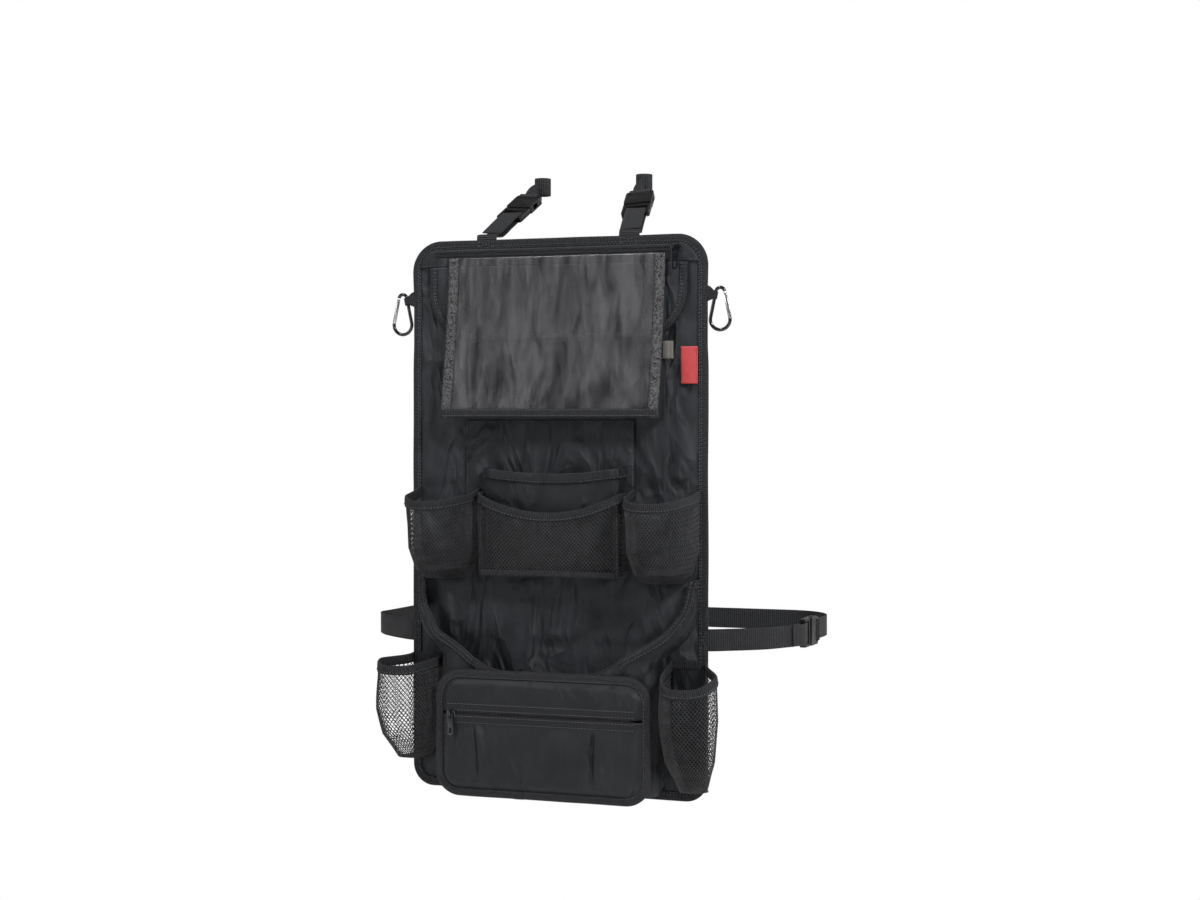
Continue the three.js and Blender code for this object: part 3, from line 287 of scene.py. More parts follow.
def flecked(name, dark, light, size, rough, depth):
    """Coarse knitted tape: light and dark loops of the given size, with no order to be seen."""
    material, tree, shader = new_material(name)
    position = add_node(tree, "ShaderNodeTexCoord").outputs["Object"]
    loops = add_node(
        tree, "ShaderNodeTexNoise", None, Vector=position, Scale=1000.0 / size, Detail=3.0, Roughness=0.7
    )
    tree.links.new(
        ramp(tree, loops.outputs["Fac"], [(0.38, dark), (0.62, light)]), shader.inputs["Base Color"]
    )
    bump = add_node(
        tree, "ShaderNodeBump", None, Strength=1.0, Distance=depth * MM, Height=loops.outputs["Fac"]
    )
    tree.links.new(bump.outputs["Normal"], shader.inputs["Normal"])
    shader.inputs["Roughness"].default_value = rough
    shader.inputs["Specular IOR Level"].default_value = 0.3
    return material


def moulded(name, dark, light, rough, metal=0.0, coat=0.0, grain=0.004, scale=1500.0, spec=0.5):
    """Moulded or cast surface: a fine grain in the gloss and a slow change of shade."""
    material, tree, shader = new_material(name)
    position = add_node(tree, "ShaderNodeTexCoord").outputs["Object"]
    slow = add_node(tree, "ShaderNodeTexNoise", None, Vector=position, Scale=120.0, Detail=4.0, Roughness=0.6)
    fine = add_node(tree, "ShaderNodeTexNoise", None, Vector=position, Scale=scale, Detail=2.0, Roughness=0.6)
    tree.links.new(ramp(tree, slow.outputs["Fac"], [(0.3, dark), (0.7, light)]), shader.inputs["Base Color"])
    gloss = maths(tree, "MULTIPLY_ADD", fine.outputs["Fac"], 0.16, rough - 0.08)
    tree.links.new(gloss, shader.inputs["Roughness"])
    bump = add_node(
        tree, "ShaderNodeBump", None, Strength=1.0, Distance=grain * MM, Height=fine.outputs["Fac"]
    )
    tree.links.new(bump.outputs["Normal"], shader.inputs["Normal"])
    shader.inputs["Metallic"].default_value = metal
    shader.inputs["Coat Weight"].default_value = coat
    shader.inputs["Coat Roughness"].default_value = 0.12
    shader.inputs["Specular IOR Level"].default_value = spec
    return material


# 600-denier polyester, plain woven and coated behind: matt black, with slow lighter grey patches painted in
# as sheen. Its 0.5 mm threads are drawn at 1.6 mm to show.
polyester = woven("woven polyester", "#0f1013", "#36393e", 1.6, 0.5, 0.05, 0.2, crumple=10.0)
# The same cloth on the pocket fronts, pressed smoother, with a little more shine on its folds.
pocket_cloth = woven(
    "pressed polyester", "#0d0e10", "#27292d", 1.5, 0.48, 0.05, 0.16, sheen_patch_size=45.0, crumple=6.0
)
# Dull lining that covers the back of the panel: a plain weave.
lining = woven("polyester lining", "#131416", "#26282b", 1.8, 0.78, 0.06, 0.14, twill=False, crumple=3.0)
# Polypropylene binding tape: ribs across it, 0.8 mm apart, drawn at 2.2 mm to show.
grosgrain = ribbed("grosgrain tape", "#050506", "#313236", 2.2, 0.7, 0.5, sheen=0.03, rough_yarn=1.1)
# Herringbone binding tape round the front pocket.
herringbone = ribbed(
    "herringbone tape", "#050506", "#36373b", 2.6, 0.66, 0.5, sheen=0.03, herring=2.8, rough_yarn=1.1
)
# Nylon webbing: heavy ribs about 1.6 mm apart, drawn at 2.6 mm to show.
webbing = ribbed("nylon webbing", "#070708", "#313236", 2.6, 0.6, 0.55, sheen=0.04)
# Zip tape: a close plain tape with fine ribs along its length.
zip_tape = ribbed("zip tape", "#121214", "#26272a", 1.2, 0.7, 0.10)
# Coarse knitted tape of the sleeve's frame: grey flecks on black.
knitted = flecked("coarse knitted tape", "#131314", "#6b6a6b", 2.2, 0.78, 0.5)
# Light grey webbing of the small tab.
grey_webbing = ribbed("grey webbing", "#4b4947", "#86837f", 1.6, 0.75, 0.3)
# Polyester netting cord: round knitted threads with a dull shine.
net_cord = moulded("knitted polyester cord", "#1c1c1e", "#3e3e41", 0.42, grain=0.05, scale=2500.0, spec=0.6)
# Sewing thread: bonded nylon, a shade lighter than the cloth, with a soft shine.
thread = moulded("bonded nylon thread", "#3c3d41", "#5c5e63", 0.42, grain=0.02, scale=3000.0)
# Acetal buckles: satin black moulded plastic.
acetal = moulded("moulded acetal", "#0b0b0d", "#131315", 0.34, grain=0.012)
# Zip slider and pull: zinc casting with a dark nickel plating, which mirrors the lamps.
plating = moulded("dark nickel plated zinc", "#3a3b3f", "#4a4b50", 0.2, metal=1.0, coat=0.6, grain=0.004)
# Zip teeth: nylon coil, semi-gloss.
nylon_teeth = moulded("nylon coil", "#0c0c0e", "#1a1b1d", 0.36, grain=0.01)
# Black enamelled steel wire of the snap hooks, nearly a mirror.
enamel = moulded("black enamelled steel", "#060607", "#0c0c0e", 0.14, coat=1.0, grain=0.002)
# Aluminium gate of the snap hooks: drawn tube, polished.
aluminium = moulded("polished aluminium", "#c3c6ca", "#dcdee1", 0.24, metal=1.0, grain=0.004)
# Satin label, woven red and left plain, with small lighter patches painted in as sheen.
label_satin = woven(
    "woven satin label", "#b8383c", "#d8585a", 0.9, 0.5, 0.1, 0.05, twill=False, sheen_patch_size=12.0, spec=0.4
)


def clear_film():
    """Clear soft PVC film: thin, glossy, with long soft creases. Seen through at a right angle, mirror-like
    at a slant. Its colour is lighter in long upright streaks along the creases: painted reflections.
    """
    material, tree, shader = new_material("clear PVC film")
    position = add_node(tree, "ShaderNodeTexCoord").outputs["Object"]
    stretched = add_node(tree, "ShaderNodeMapping", None, Vector=position, Scale=(1.0, 1.0, 0.22))
    creases = add_node(
        tree, "ShaderNodeTexNoise", None, Vector=stretched.outputs[0], Scale=70.0, Detail=3.0, Roughness=0.5,
        Distortion=0.8
    )
    bump = add_node(tree, "ShaderNodeBump", None, Strength=1.0, Distance=0.003, Height=creases.outputs["Fac"])
    tree.links.new(bump.outputs["Normal"], shader.inputs["Normal"])
    # Painted reflections: the film's colour goes lighter in long upright streaks that follow the crease
    # noise.
    painted_reflection_streaks = ramp(tree, creases.outputs["Fac"], [(0.32, "#343437"), (0.68, "#807f83")])
    tree.links.new(painted_reflection_streaks, shader.inputs["Base Color"])
    shader.inputs["Roughness"].default_value = 0.3
    shader.inputs["IOR"].default_value = 1.53
    shader.inputs["Alpha"].default_value = 0.3
    shader.inputs["Coat Weight"].default_value = 0.6
    shader.inputs["Coat Roughness"].default_value = 0.14
    return material


film = clear_film()


# The paper sweep, in metres: half its width, the start of its bend, the bend's radius and its place below the
# part
SWEEP_HALF, SWEEP_FLAT, SWEEP_BEND, SWEEP_BELOW = 9.0, 2.6, 1.2, 0.12


def set_stage():
    """White sweep and lamps: the key light from high on the right, a weak fill from the left, one above and a
    rim light behind.
    """
    floor_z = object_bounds()[0][2] - SWEEP_BELOW
    size = SWEEP_HALF
    verts = [(-size, -size, 0), (size, -size, 0), (size, SWEEP_FLAT, 0), (-size, SWEEP_FLAT, 0)]
    faces = [(0, 1, 2, 3)]
    bends = 12
    for i in range(1, bends + 1):
        angle = math.pi / 2 * i / bends
        y, z = SWEEP_FLAT + SWEEP_BEND * math.sin(angle), SWEEP_BEND - SWEEP_BEND * math.cos(angle)
        verts += [(size, y, z), (-size, y, z)]
    verts += [(size, SWEEP_FLAT + SWEEP_BEND, size), (-size, SWEEP_FLAT + SWEEP_BEND, size)]
    for row in range(2, len(verts) - 3, 2):
        faces.append((row + 1, row, row + 2, row + 3))
    mesh = bpy.data.meshes.new("sweep")
    mesh.from_pydata([(x, y, z + floor_z) for x, y, z in verts], [], faces)
    for polygon in mesh.polygons:
        polygon.use_smooth = True
    sweep = bpy.data.objects.new("sweep", mesh)
    bpy.context.scene.collection.objects.link(sweep)
    paper, tree, shader = new_material("matt white paper")
    shader.inputs["Base Color"].default_value = linear("#f4f4f4")
    shader.inputs["Roughness"].default_value = 0.9
    out = next(n for n in tree.nodes if n.type == "OUTPUT_MATERIAL")
    rays = add_node(tree, "ShaderNodeLightPath")
    seen = maths(tree, "MAXIMUM", rays.outputs["Is Camera Ray"], rays.outputs["Is Transmission Ray"])
    glow = add_node(tree, "ShaderNodeEmission", None, Color=linear("#ffffff"), Strength=1.0)
    mix = add_node(tree, "ShaderNodeMixShader", None, _0=seen, _1=shader.outputs[0], _2=glow.outputs[0])
    tree.links.new(mix.outputs[0], out.inputs["Surface"])
    mesh.materials.append(paper)
    sweep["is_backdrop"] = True
    world = bpy.data.worlds.new("studio")
    bpy.context.scene.world = world
    world.use_nodes = True
    background = next(n for n in world.node_tree.nodes if n.type == "BACKGROUND")
    background.inputs["Color"].default_value = linear("#ffffff")
    background.inputs["Strength"].default_value = 0.13
    for name, place, aim, wide, power in (
        ("key lamp", (2.1, -1.5, 1.5), (0.0, 0.0, -0.25), 0.6, 62.0),
        ("fill lamp", (-2.2, -2.2, 0.3), (0.0, 0.0, -0.3), 1.2, 13.0),
        ("top lamp", (-0.7, -0.9, 1.9), (0.0, 0.0, -0.3), 0.5, 24.0),
        ("rim lamp", (2.2, 1.6, 0.9), (0.1, 0.0, -0.3), 1.2, 16.0),
    ):
        lamp = bpy.data.objects.new(name, bpy.data.lights.new(name, "AREA"))
        lamp.data.shape = "DISK"
        lamp.data.size = wide
        lamp.data.energy = power
        lamp.location = place
        lamp.rotation_euler = (Vector(aim) - Vector(place)).to_track_quat("-Z", "Y").to_euler()
        bpy.context.scene.collection.objects.link(lamp)


set_stage()

# Meshes


def piece(name, verts, faces, material, body="panel", uvs=None, smooth=True):
    """A mesh from points in millimetres, riding on a body. uvs holds one pair for each point, in millimetres.
    """
    mesh = bpy.data.meshes.new(name)
    mesh.from_pydata([(x * MM, y * MM, z * MM) for x, y, z in verts], [], faces)
    mesh.update()
    if uvs is not None:
        layer = mesh.uv_layers.new(name="UVMap")
        for loop in mesh.loops:
            layer.data[loop.index].uv = uvs[loop.vertex_index]
    mesh.polygons.foreach_set("use_smooth", [smooth] * len(mesh.polygons))
    mesh.materials.append(material)
    obj = bpy.data.objects.new(name, mesh)
    bpy.context.scene.collection.objects.link(obj)
    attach(obj, body)
    return obj


def modify(obj, kind, **settings):
    """Adds a modifier and applies it to the mesh at once."""
    modifier = obj.modifiers.new(kind.lower(), kind)
    for name, value in settings.items():
        setattr(modifier, name, value)
    graph = bpy.context.evaluated_depsgraph_get()
    done = bpy.data.meshes.new_from_object(
        obj.evaluated_get(graph), preserve_all_data_layers=True, depsgraph=graph
    )
    obj.modifiers.clear()
    old = obj.data
    obj.data = done
    bpy.data.meshes.remove(old)
    return obj


def sheet_mesh(point, us, vs, uv=None):
    """Points and quads of point(u, v) over the values us and vs."""
    verts = [point(u, v) for v in vs for u in us]
    uvs = [uv(u, v) for v in vs for u in us] if uv else [(x, z) for x, y, z in verts]
    wide = len(us)
    faces = [
        (j * wide + i, j * wide + i + 1, (j + 1) * wide + i + 1, (j + 1) * wide + i)
        for j in range(len(vs) - 1) for i in range(wide - 1)
    ]
    return verts, faces, uvs


def cloth_sheet(name, point, us, vs, material, thick, uv=None, body="panel", offset=0.0):
    """A sheet of cloth with its thickness; offset -1 puts the thickness behind the surface, 1 in front."""
    verts, faces, uvs = sheet_mesh(point, us, vs, uv)
    obj = piece(name, verts, faces, material, body, uvs)
    modify(obj, "SOLIDIFY", thickness=thick * MM, offset=offset, use_rim=True)
    return obj


def steps(a, b, size):
    """Values from a to b, evenly spaced by size or a little less."""
    count = max(int(math.ceil(abs(b - a) / size)), 1)
    return [a + (b - a) * i / count for i in range(count + 1)]


def frames_along(points, normal, closed=False):
    """For each point of a path: the point, the direction along, the surface's normal and the direction
    across.
    """
    result = []
    count = len(points)
    for i, p in enumerate(points):
        before = points[i - 1] if closed or i else points[0]
        after = points[(i + 1) % count] if closed or i < count - 1 else points[-1]
        along = (after - before).normalized()
        up = normal(p, i) if callable(normal) else normal
        up = (up - along * up.dot(along)).normalized()
        result.append((p, along, up, along.cross(up)))
    return result


def band(name, stations, profile, material, closed=False, body="panel", start=0.0):
    """A tape swept along stations (point, along, up, across): profile holds (across, up) pairs of a closed
    outline.
    """
    verts, uvs, faces = [], [], []
    girth = [0.0]
    ring = len(profile)
    for k in range(1, ring + 1):
        a, b = profile[k - 1], profile[k % ring]
        girth.append(girth[-1] + math.hypot(b[0] - a[0], b[1] - a[1]))
    travelled = start
    count = len(stations)
    for i, (p, along, up, across) in enumerate(stations):
        if i:
            travelled += (p - stations[i - 1][0]).length
        for k in range(ring):
            c, h = profile[k]
            q = p + across * c + up * h
            verts.append(tuple(q))
            uvs.append((travelled, c if abs(h) < 50 else girth[k]))
    for i in range(count if closed else count - 1):
        a, b = i * ring, ((i + 1) % count) * ring
        for k in range(ring):
            n = (k + 1) % ring
            faces.append((a + k, b + k, b + n, a + n))
    if not closed:
        faces.append(tuple(range(ring)))
        faces.append(tuple(reversed(range((count - 1) * ring, count * ring))))
    obj = piece(name, verts, faces, material, body, uvs)
    fix_normals(obj)
    return obj


def fix_normals(obj):
    """Turns every face outwards."""
    bm = bmesh.new()
    bm.from_mesh(obj.data)
    bmesh.ops.recalc_face_normals(bm, faces=bm.faces)
    bm.to_mesh(obj.data)
    bm.free()


def flat_profile(half, thick, lift=0.0, belly=0.0, count=6):
    """Outline of a tape of the given half width, lying on its surface, with rounded edges."""
    top = []
    for i in range(count + 1):
        u = -1 + 2 * i / count
        top.append((u * half, lift + thick * (1 - 0.35 * u**8) + belly * (1 - u * u)))
    return [(-half, lift), *top, (half, lift)]


def polyline(points, spacing):
    """Points evenly spaced along a path."""
    points = [Vector(p) for p in points]
    lengths = [0.0]
    for a, b in zip(points, points[1:]):
        lengths.append(lengths[-1] + (b - a).length)
    total = lengths[-1]
    count = max(int(round(total / spacing)), 1)
    out = []
    k = 0
    for i in range(count + 1):
        want = total * i / count
        while k + 2 < len(lengths) and lengths[k + 1] < want:
            k += 1
        share = (want - lengths[k]) / max(lengths[k + 1] - lengths[k], 1e-9)
        out.append(points[k].lerp(points[k + 1], share))
    return out


def stitch_rows(name, rows, body="panel", stitch=2.7, gap=1.3, radius=0.46):
    """Sewn seams: rows of (points, normal). Each stitch is a short raised thread that dips into the cloth at
    both ends.
    """
    verts, faces = [], []
    for points, normal in rows:
        path = polyline(points, stitch + gap)
        for a, b in zip(path, path[1:]):
            middle = (a + b) / 2
            along = (b - a).normalized()
            up = normal(middle, 0) if callable(normal) else normal
            up = (up - along * up.dot(along)).normalized()
            across = along.cross(up)
            half = stitch / 2 * chance.uniform(0.92, 1.05)
            base = len(verts)
            lift = radius * 0.35
            for t, r, h in ((-1.0, 0.35, -0.5), (-0.55, 1.0, 0.25), (0.55, 1.0, 0.25), (1.0, 0.35, -0.5)):
                c = middle + along * (t * half) + up * (lift + h * radius)
                for k in range(4):
                    angle = math.pi / 2 * k
                    spoke = across * (math.cos(angle) * radius * r)
                    spoke += up * (math.sin(angle) * radius * r * 0.8)
                    verts.append(tuple(c + spoke))
            for s in range(3):
                for k in range(4):
                    n = (k + 1) % 4
                    q = base + 4 * s
                    faces.append((q + k, q + n, q + 4 + n, q + 4 + k))
            faces.append((base + 3, base + 2, base + 1, base))
            faces.append((base + 12, base + 13, base + 14, base + 15))
    return piece(name, verts, faces, thread, body)


def finished_copy(node, material, bevel, body, angle=32.0):
    """The solid of a moulded or cast piece with its edges rounded."""
    mesh = nodes[node].data.copy()
    mesh.name = node + "_finished"
    obj = bpy.data.objects.new(node + "_finished", mesh)
    bpy.context.scene.collection.objects.link(obj)
    bm = bmesh.new()
    bm.from_mesh(mesh)
    bmesh.ops.remove_doubles(bm, verts=bm.verts, dist=2e-6)
    bmesh.ops.dissolve_limit(bm, angle_limit=math.radians(1.0), verts=bm.verts, edges=bm.edges)
    bm.to_mesh(mesh)
    bm.free()
    mesh.materials.clear()
    mesh.materials.append(material)
    modify(
        obj, "BEVEL", width=bevel * MM, segments=3, limit_method="ANGLE", angle_limit=math.radians(angle),
        harden_normals=False, use_clamp_overlap=True
    )
    obj.data.polygons.foreach_set("use_smooth", [True] * len(obj.data.polygons))
    obj.data.set_sharp_from_angle(angle=math.radians(40))
    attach(obj, body)
    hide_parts(node)
    return obj


# Panel

# Open places of the panel's front, where the cloth may swell: left, right, top, bottom, height
OPEN_AREAS = [
    (-171, -113, 124, 290, 4.6), (95, 171, 124, 290, 4.6), (-171, 171, 388, 470, 3.4),
    (-96, -88, 262, 386, 0.8), (88, 96, 262, 386, 0.8),
]


def panel_half(drop, inset):
    """Half width of the panel's outline at a height, with its rounded corners."""
    wide = PANEL_HALF - inset
    for edge, radius in ((drop - inset, TOP_CORNER - inset), (PANEL_HIGH - inset - drop, LOW_CORNER - inset)):
        if edge < radius:
            edge = max(edge, 0.0)
            return wide - radius + math.sqrt(max(radius**2 - (radius - edge) ** 2, 0.0))
    return wide


def folds(x, drop, size, seed):
    """Height of soft sharp-backed folds that run down at a slant, between about 0 and 1."""
    a = wave(x + 0.4 * drop, 0, 0.45 * drop, size, seed)
    b = wave(x - 0.5 * drop, 3, 0.5 * drop, 0.6 * size, seed + 9)
    return max(0.0, 1 - 3.2 * abs(a)) ** 1.6 * 0.7 + max(0.0, 1 - 3.6 * abs(b)) ** 2 * 0.3


def swell(x, drop):
    """How far the cloth stands out in an open area."""
    total = 0.0
    for x0, x1, d0, d1, high in OPEN_AREAS:
        mask = ease(0, 14, x - x0) * ease(0, 14, x1 - x) * ease(0, 16, drop - d0) * ease(0, 16, d1 - drop)
        if mask > 0:
            slanted = wave(x + 0.45 * drop, 0, drop * 0.5, 42, 1) * 1.3
            slanted += wave(x * 1.7, 0, drop * 0.5, 26, 2) * 0.7
            beside = abs((x - 0.35 * drop + 9 * wave(0, 0, drop, 60, 4)) % 52 - 26)
            fold = max(0.0, 1 - beside / 9.0) ** 2 * 0.5
            total += high * mask * max(0.0, 0.25 + 0.7 * slanted + fold + 0.5 * folds(x, drop, 44, 51))
    return total


def outline(
    inset, spacing, top_radius=TOP_CORNER, low_radius=LOW_CORNER, half=PANEL_HALF, top=0.0, low=PANEL_HIGH
):
    """Counter-clockwise outline seen from the front, as points at y = 0."""
    x1, z1, z0 = half - inset, level(top) - inset, level(low) + inset
    rt, rb = max(top_radius - inset, 0.5), max(low_radius - inset, 0.5)
    path = []
    for cx, cz, r, a0 in (
        (x1 - rb, z0 + rb, rb, -90), (x1 - rt, z1 - rt, rt, 0), (-x1 + rt, z1 - rt, rt, 90),
        (-x1 + rb, z0 + rb, rb, 180)
    ):
        count = max(int(math.radians(90) * r / spacing * 2), 4)
        for i in range(count + 1):
            angle = math.radians(a0 + 90 * i / count)
            path.append(Vector((cx + r * math.cos(angle), 0, cz + r * math.sin(angle))))
    dense = []
    for a, b in zip(path, path[1:] + path[:1]):
        dense.append(a)
        extra = int((b - a).length / spacing)
        dense += [a.lerp(b, (i + 1) / (extra + 1)) for i in range(extra)]
    return dense


FRONT = Vector((0, -1, 0))
BACK = Vector((0, 1, 0))


def panel_point(y_of):
    """A surface over the whole panel, at the y that y_of gives."""
    def point(u, drop):
        x = u * panel_half(drop, 1.4)
        return (x, y_of(x, drop), level(drop))
    return point


rows = steps(1.4, 34, 2.5) + steps(34, 612, 4.0)[1:] + steps(612, PANEL_HIGH - 1.4, 2.5)[1:]
columns = [v / 172 for v in steps(-172, 172, 4.0)]
front_cloth = cloth_sheet(
    "panel_front", panel_point(lambda x, d: PANEL_FRONT + 0.8 - swell(x, d) - 0.15 * wave(x, 0, d, 18)),
    columns, rows, polyester, 0.8, offset=1.0, uv=lambda u, v: (u * 180, level(v)),
)
back_cloth = cloth_sheet(
    "panel_back", panel_point(
        lambda x, d: -1.0 + 0.35 * wave(x, 9, d, 40, 3) * ease(0, 20, panel_half(d, 11) - abs(x))
    ),
    columns, rows, lining, 0.8, offset=-1.0, uv=lambda u, v: (u * 180, level(v)),
)
cloth_sheet(
    "panel_core", panel_point(lambda x, d: -1.3),
    [v / 172 for v in steps(-172, 172, 16)], rows[::3] + [rows[-1]],
    lining, 2.0, offset=1.0, uv=lambda u, v: (u * 180, level(v)),
)
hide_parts("back_panel")
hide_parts("back_panel")

# Outline of a tape folded over an edge: its front leg, the round fold, its rear leg and the way back inside
FOLDED_EDGE = [
    (-11.0, 4.5), (-10.6, 4.85), (-8.0, 4.95), (-5.0, 5.0), (-2.2, 4.9),
    (-0.9, 4.4), (-0.1, 3.4), (0.0, 2.3), (-0.1, 1.2), (-0.9, 0.2),
    (-2.2, -0.05), (-5.0, -0.1), (-8.0, -0.1), (-10.6, -0.05), (-11.0, 0.2),
    (-11.0, 0.9), (-2.4, 1.0), (-1.4, 2.3), (-2.4, 3.7), (-11.0, 3.8),
]


def edge_wobble(p):
    """Small waves of the sewn edge. Beside the snap hooks it is drawn in by their ribbons."""
    calm = ease(20, 60, abs(p.z - level(95)))
    drawn_in = math.copysign(0.9 * (1 - calm), p.x) if abs(p.x) > PANEL_HALF - 2 else 0.0
    waves = Vector(
        (0.5 * wave(p.x, 0, p.z, 70, 5), -0.35 * wave(p.x, 3, p.z, 34, 6), 0.4 * wave(p.x, 6, p.z, 60, 7))
    )
    return waves * calm - Vector((drawn_in, 0, 0))


edge_path = [p + edge_wobble(p) for p in outline(0, 5.0)]
edge = band(
    "edge_binding_tape", frames_along(edge_path, FRONT, closed=True), FOLDED_EDGE, grosgrain,
    closed=True
)
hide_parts("edge_binding")


def shifted(path, y):
    """The path moved to another y."""
    return [Vector((p.x, y, p.z)) for p in path]


edge_rows = []
for inset in (7.4, 9.6):
    loop = outline(inset, 6.0)
    edge_rows.append((shifted(loop + loop[:1], -4.95), FRONT))
loop = outline(9.2, 6.0)
edge_rows.append((shifted(loop + loop[:1], 0.1), BACK))
stitch_rows("edge_stitching", edge_rows)

# Header and zips


def header_point(u, drop):
    """The header's cloth, swollen over its stiffener and flat under the sleeve."""
    x = u * (panel_half(drop, 10.0))
    swelling = ease(11, 14.5, drop) * (1 - 0.75 * ease(22, 31, drop))
    y = -5.0 - 3.2 * swelling - 0.25 * wave(x, 0, drop, 30, 8)
    if abs(x) < 136 and drop > 19:
        y = max(y, -7.6)
    return (x, y, level(drop))


header = cloth_sheet(
    "header_cloth", header_point, [v / 170 for v in steps(-170, 170, 4)], steps(10.6, HEADER_LOW, 1.6),
    polyester, 0.9, offset=1.0, uv=lambda u, v: (u * 170, level(v)),
)
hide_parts("header_band")


def zip_strips(label, half, z, y, tape_near, tape_far, wide_seams):
    """Two zip tapes with the closed coil between them, on a flat front at y."""
    for word, sign in (("upper", 1), ("lower", -1)):
        path = [Vector((x, y, z + sign * (tape_near + tape_far) / 2)) for x in steps(-half, half, 5)]
        path = [p + Vector((0, -0.15 * wave(p.x, 0, p.z, 25, 9), 0)) for p in path]
        tape = flat_profile((tape_far - tape_near) / 2, 0.85)
        strip = band(
            f"{label}_zip_tape_{word}_cloth", frames_along(path, FRONT), tape, zip_tape
        )
        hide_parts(f"{label}_zip_tape_{word}")
    verts, faces = [], []
    pitch = 1.9
    count = int(2 * (half - 2) / pitch)
    for i in range(count):
        x = -half + 2 + pitch * i
        sign = 1 if i % 2 else -1
        base = len(verts)
        for t, (reach, r) in enumerate(((-0.9, 0.25), (0.1, 0.62), (1.7, 0.55), (2.0, 0.25))):
            for k in range(5):
                angle = 2 * math.pi * k / 5
                verts.append(
                    (x + r * 1.15 * math.cos(angle), y - 0.75 - r * math.sin(angle) * 0.8, z + sign * reach)
                )
        for s in range(3):
            for k in range(5):
                n = (k + 1) % 5
                q = base + 5 * s
                faces.append((q + k, q + n, q + 5 + n, q + 5 + k))
        faces.append(tuple(base + k for k in range(5)))
        faces.append(tuple(base + 15 + k for k in reversed(range(5))))
    coil = piece(f"{label}_zip_coil", verts, faces, nylon_teeth)
    fix_normals(coil)
    if wide_seams:
        rows_here = []
        for sign in (1, -1):
            for at in wide_seams:
                rows_here.append(([(x, y - 0.9, z + sign * at) for x in (-half + 1, half - 1)], FRONT))
        stitch_rows(f"{label}_zip_stitching", rows_here)


zip_strips("tablet", ZIP_HALF, level(ZIP_DROP), -8.6, 0.5, 3.6, None)
stitch_rows("header_stitching", [
    ([(x, -8.95, level(10.9 + 1.5)) for x in (-150, 150)], FRONT),
    ([(x, -6.0, level(29.3)) for x in (-169, -136)], FRONT),
    ([(x, -6.0, level(29.3)) for x in (136, 169)], FRONT),
])
for label in ("tablet", "pocket"):
    finished_copy(f"{label}_zip_slider", plating, 0.35, f"{label}_slider")
    finished_copy(f"{label}_zip_pull", plating, 0.3, f"{label}_pull")

# Bound panel behind the sleeve, and the sleeve

BACKING_HALF, BACKING_LOW, BACKING_R = 159.0, 120.0, 60.0


def backing_half(drop, inset):
    """Half width of the rounded panel behind the sleeve."""
    radius = BACKING_R - inset
    edge = BACKING_LOW - inset - drop
    if edge < radius:
        return BACKING_HALF - inset - radius + math.sqrt(max(radius**2 - (radius - max(edge, 0.0)) ** 2, 0.0))
    return BACKING_HALF - inset


backing = cloth_sheet(
    "backing_cloth",
    lambda u, d: (u * backing_half(d, 5), -5.9 - 0.3 * wave(u * 160, 0, d, 30, 10), level(d)),
    [v / 154 for v in steps(-154, 154, 6)], steps(31, BACKING_LOW - 5.1, 3),
    polyester, 0.8, offset=-1.0, uv=lambda u, v: (u * 154, level(v)),
)
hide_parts("backing_panel")
u_path = [Vector((-BACKING_HALF + 5, 0, level(d))) for d in steps(31.5, BACKING_LOW - BACKING_R, 5)]
corner_x, corner_z, r = -BACKING_HALF + BACKING_R, level(BACKING_LOW - BACKING_R), BACKING_R - 5
for i in range(1, 17):
    angle = math.pi + math.pi / 2 * i / 16
    u_path.append(Vector((corner_x + r * math.cos(angle), 0, corner_z + r * math.sin(angle))))
u_path += [
    Vector((x, 0, level(BACKING_LOW) + 5))
    for x in steps(-BACKING_HALF + BACKING_R, BACKING_HALF - BACKING_R, 8)[1:]
]
foot_count = len(steps(-BACKING_HALF + BACKING_R, BACKING_HALF - BACKING_R, 8))
right_side = [Vector((-p.x, p.y, p.z)) for p in reversed(u_path[: len(u_path) - foot_count + 1])]
u_path += right_side[1:]
u_frames = frames_along(shifted(u_path, -4.9), FRONT)
backing_edge = band("backing_binding_tape", u_frames, flat_profile(5.0, 2.9, belly=0.4), grosgrain)
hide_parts("backing_binding")
stitch_rows("backing_stitching", [
    ([p + across * -3.2 + up * 3.15 for p, along, up, across in u_frames], FRONT),
    ([p + across * -1.2 + up * 3.35 for p, along, up, across in u_frames], FRONT),
], radius=0.42)


def sleeve_front(drop):
    """The sleeve's front, which stands further out towards its foot."""
    share = min(max((drop - SLEEVE_TOP) / (SLEEVE_LOW - SLEEVE_TOP), 0.0), 1.0)
    return SLEEVE_BACK - 1.0 - 26.0 * share**1.6


def sleeve_normal(p, i=0):
    drop = ORIGIN_DROP - p[2]
    slope = (sleeve_front(drop + 1) - sleeve_front(drop - 1)) / 2
    return Vector((0, -1, -slope)).normalized()


def gusset_point(u, v):
    """u runs down the left side, along the bottom and up the right side; v from the panel to the front."""
    high, wide = SLEEVE_LOW - SLEEVE_TOP - 0.5, 2 * (SLEEVE_HALF - 1)
    sag = 1.6 * math.sin(math.pi * v)
    if u < high:
        drop = SLEEVE_TOP + 0.5 + u
        x = -SLEEVE_HALF + 1 + sag * ease(0, 60, u) + 0.5 * wave(0, v * 20, drop, 24, 11) * ease(0, 0.2, v)
        z = level(drop)
    elif u < high + wide:
        drop = SLEEVE_LOW
        x = -SLEEVE_HALF + 1 + (u - high)
        z = level(drop) + sag * 1.2 + 0.6 * wave(u, v * 20, 0, 30, 12) * math.sin(math.pi * v)
    else:
        drop = SLEEVE_LOW - (u - high - wide)
        x = SLEEVE_HALF - 1 - sag * ease(0, 60, drop - SLEEVE_TOP)
        x -= 0.5 * wave(3, v * 20, drop, 24, 13) * ease(0, 0.2, v)
        z = level(drop)
    near = SLEEVE_BACK
    return (x, near + (sleeve_front(drop) - near) * v, z)


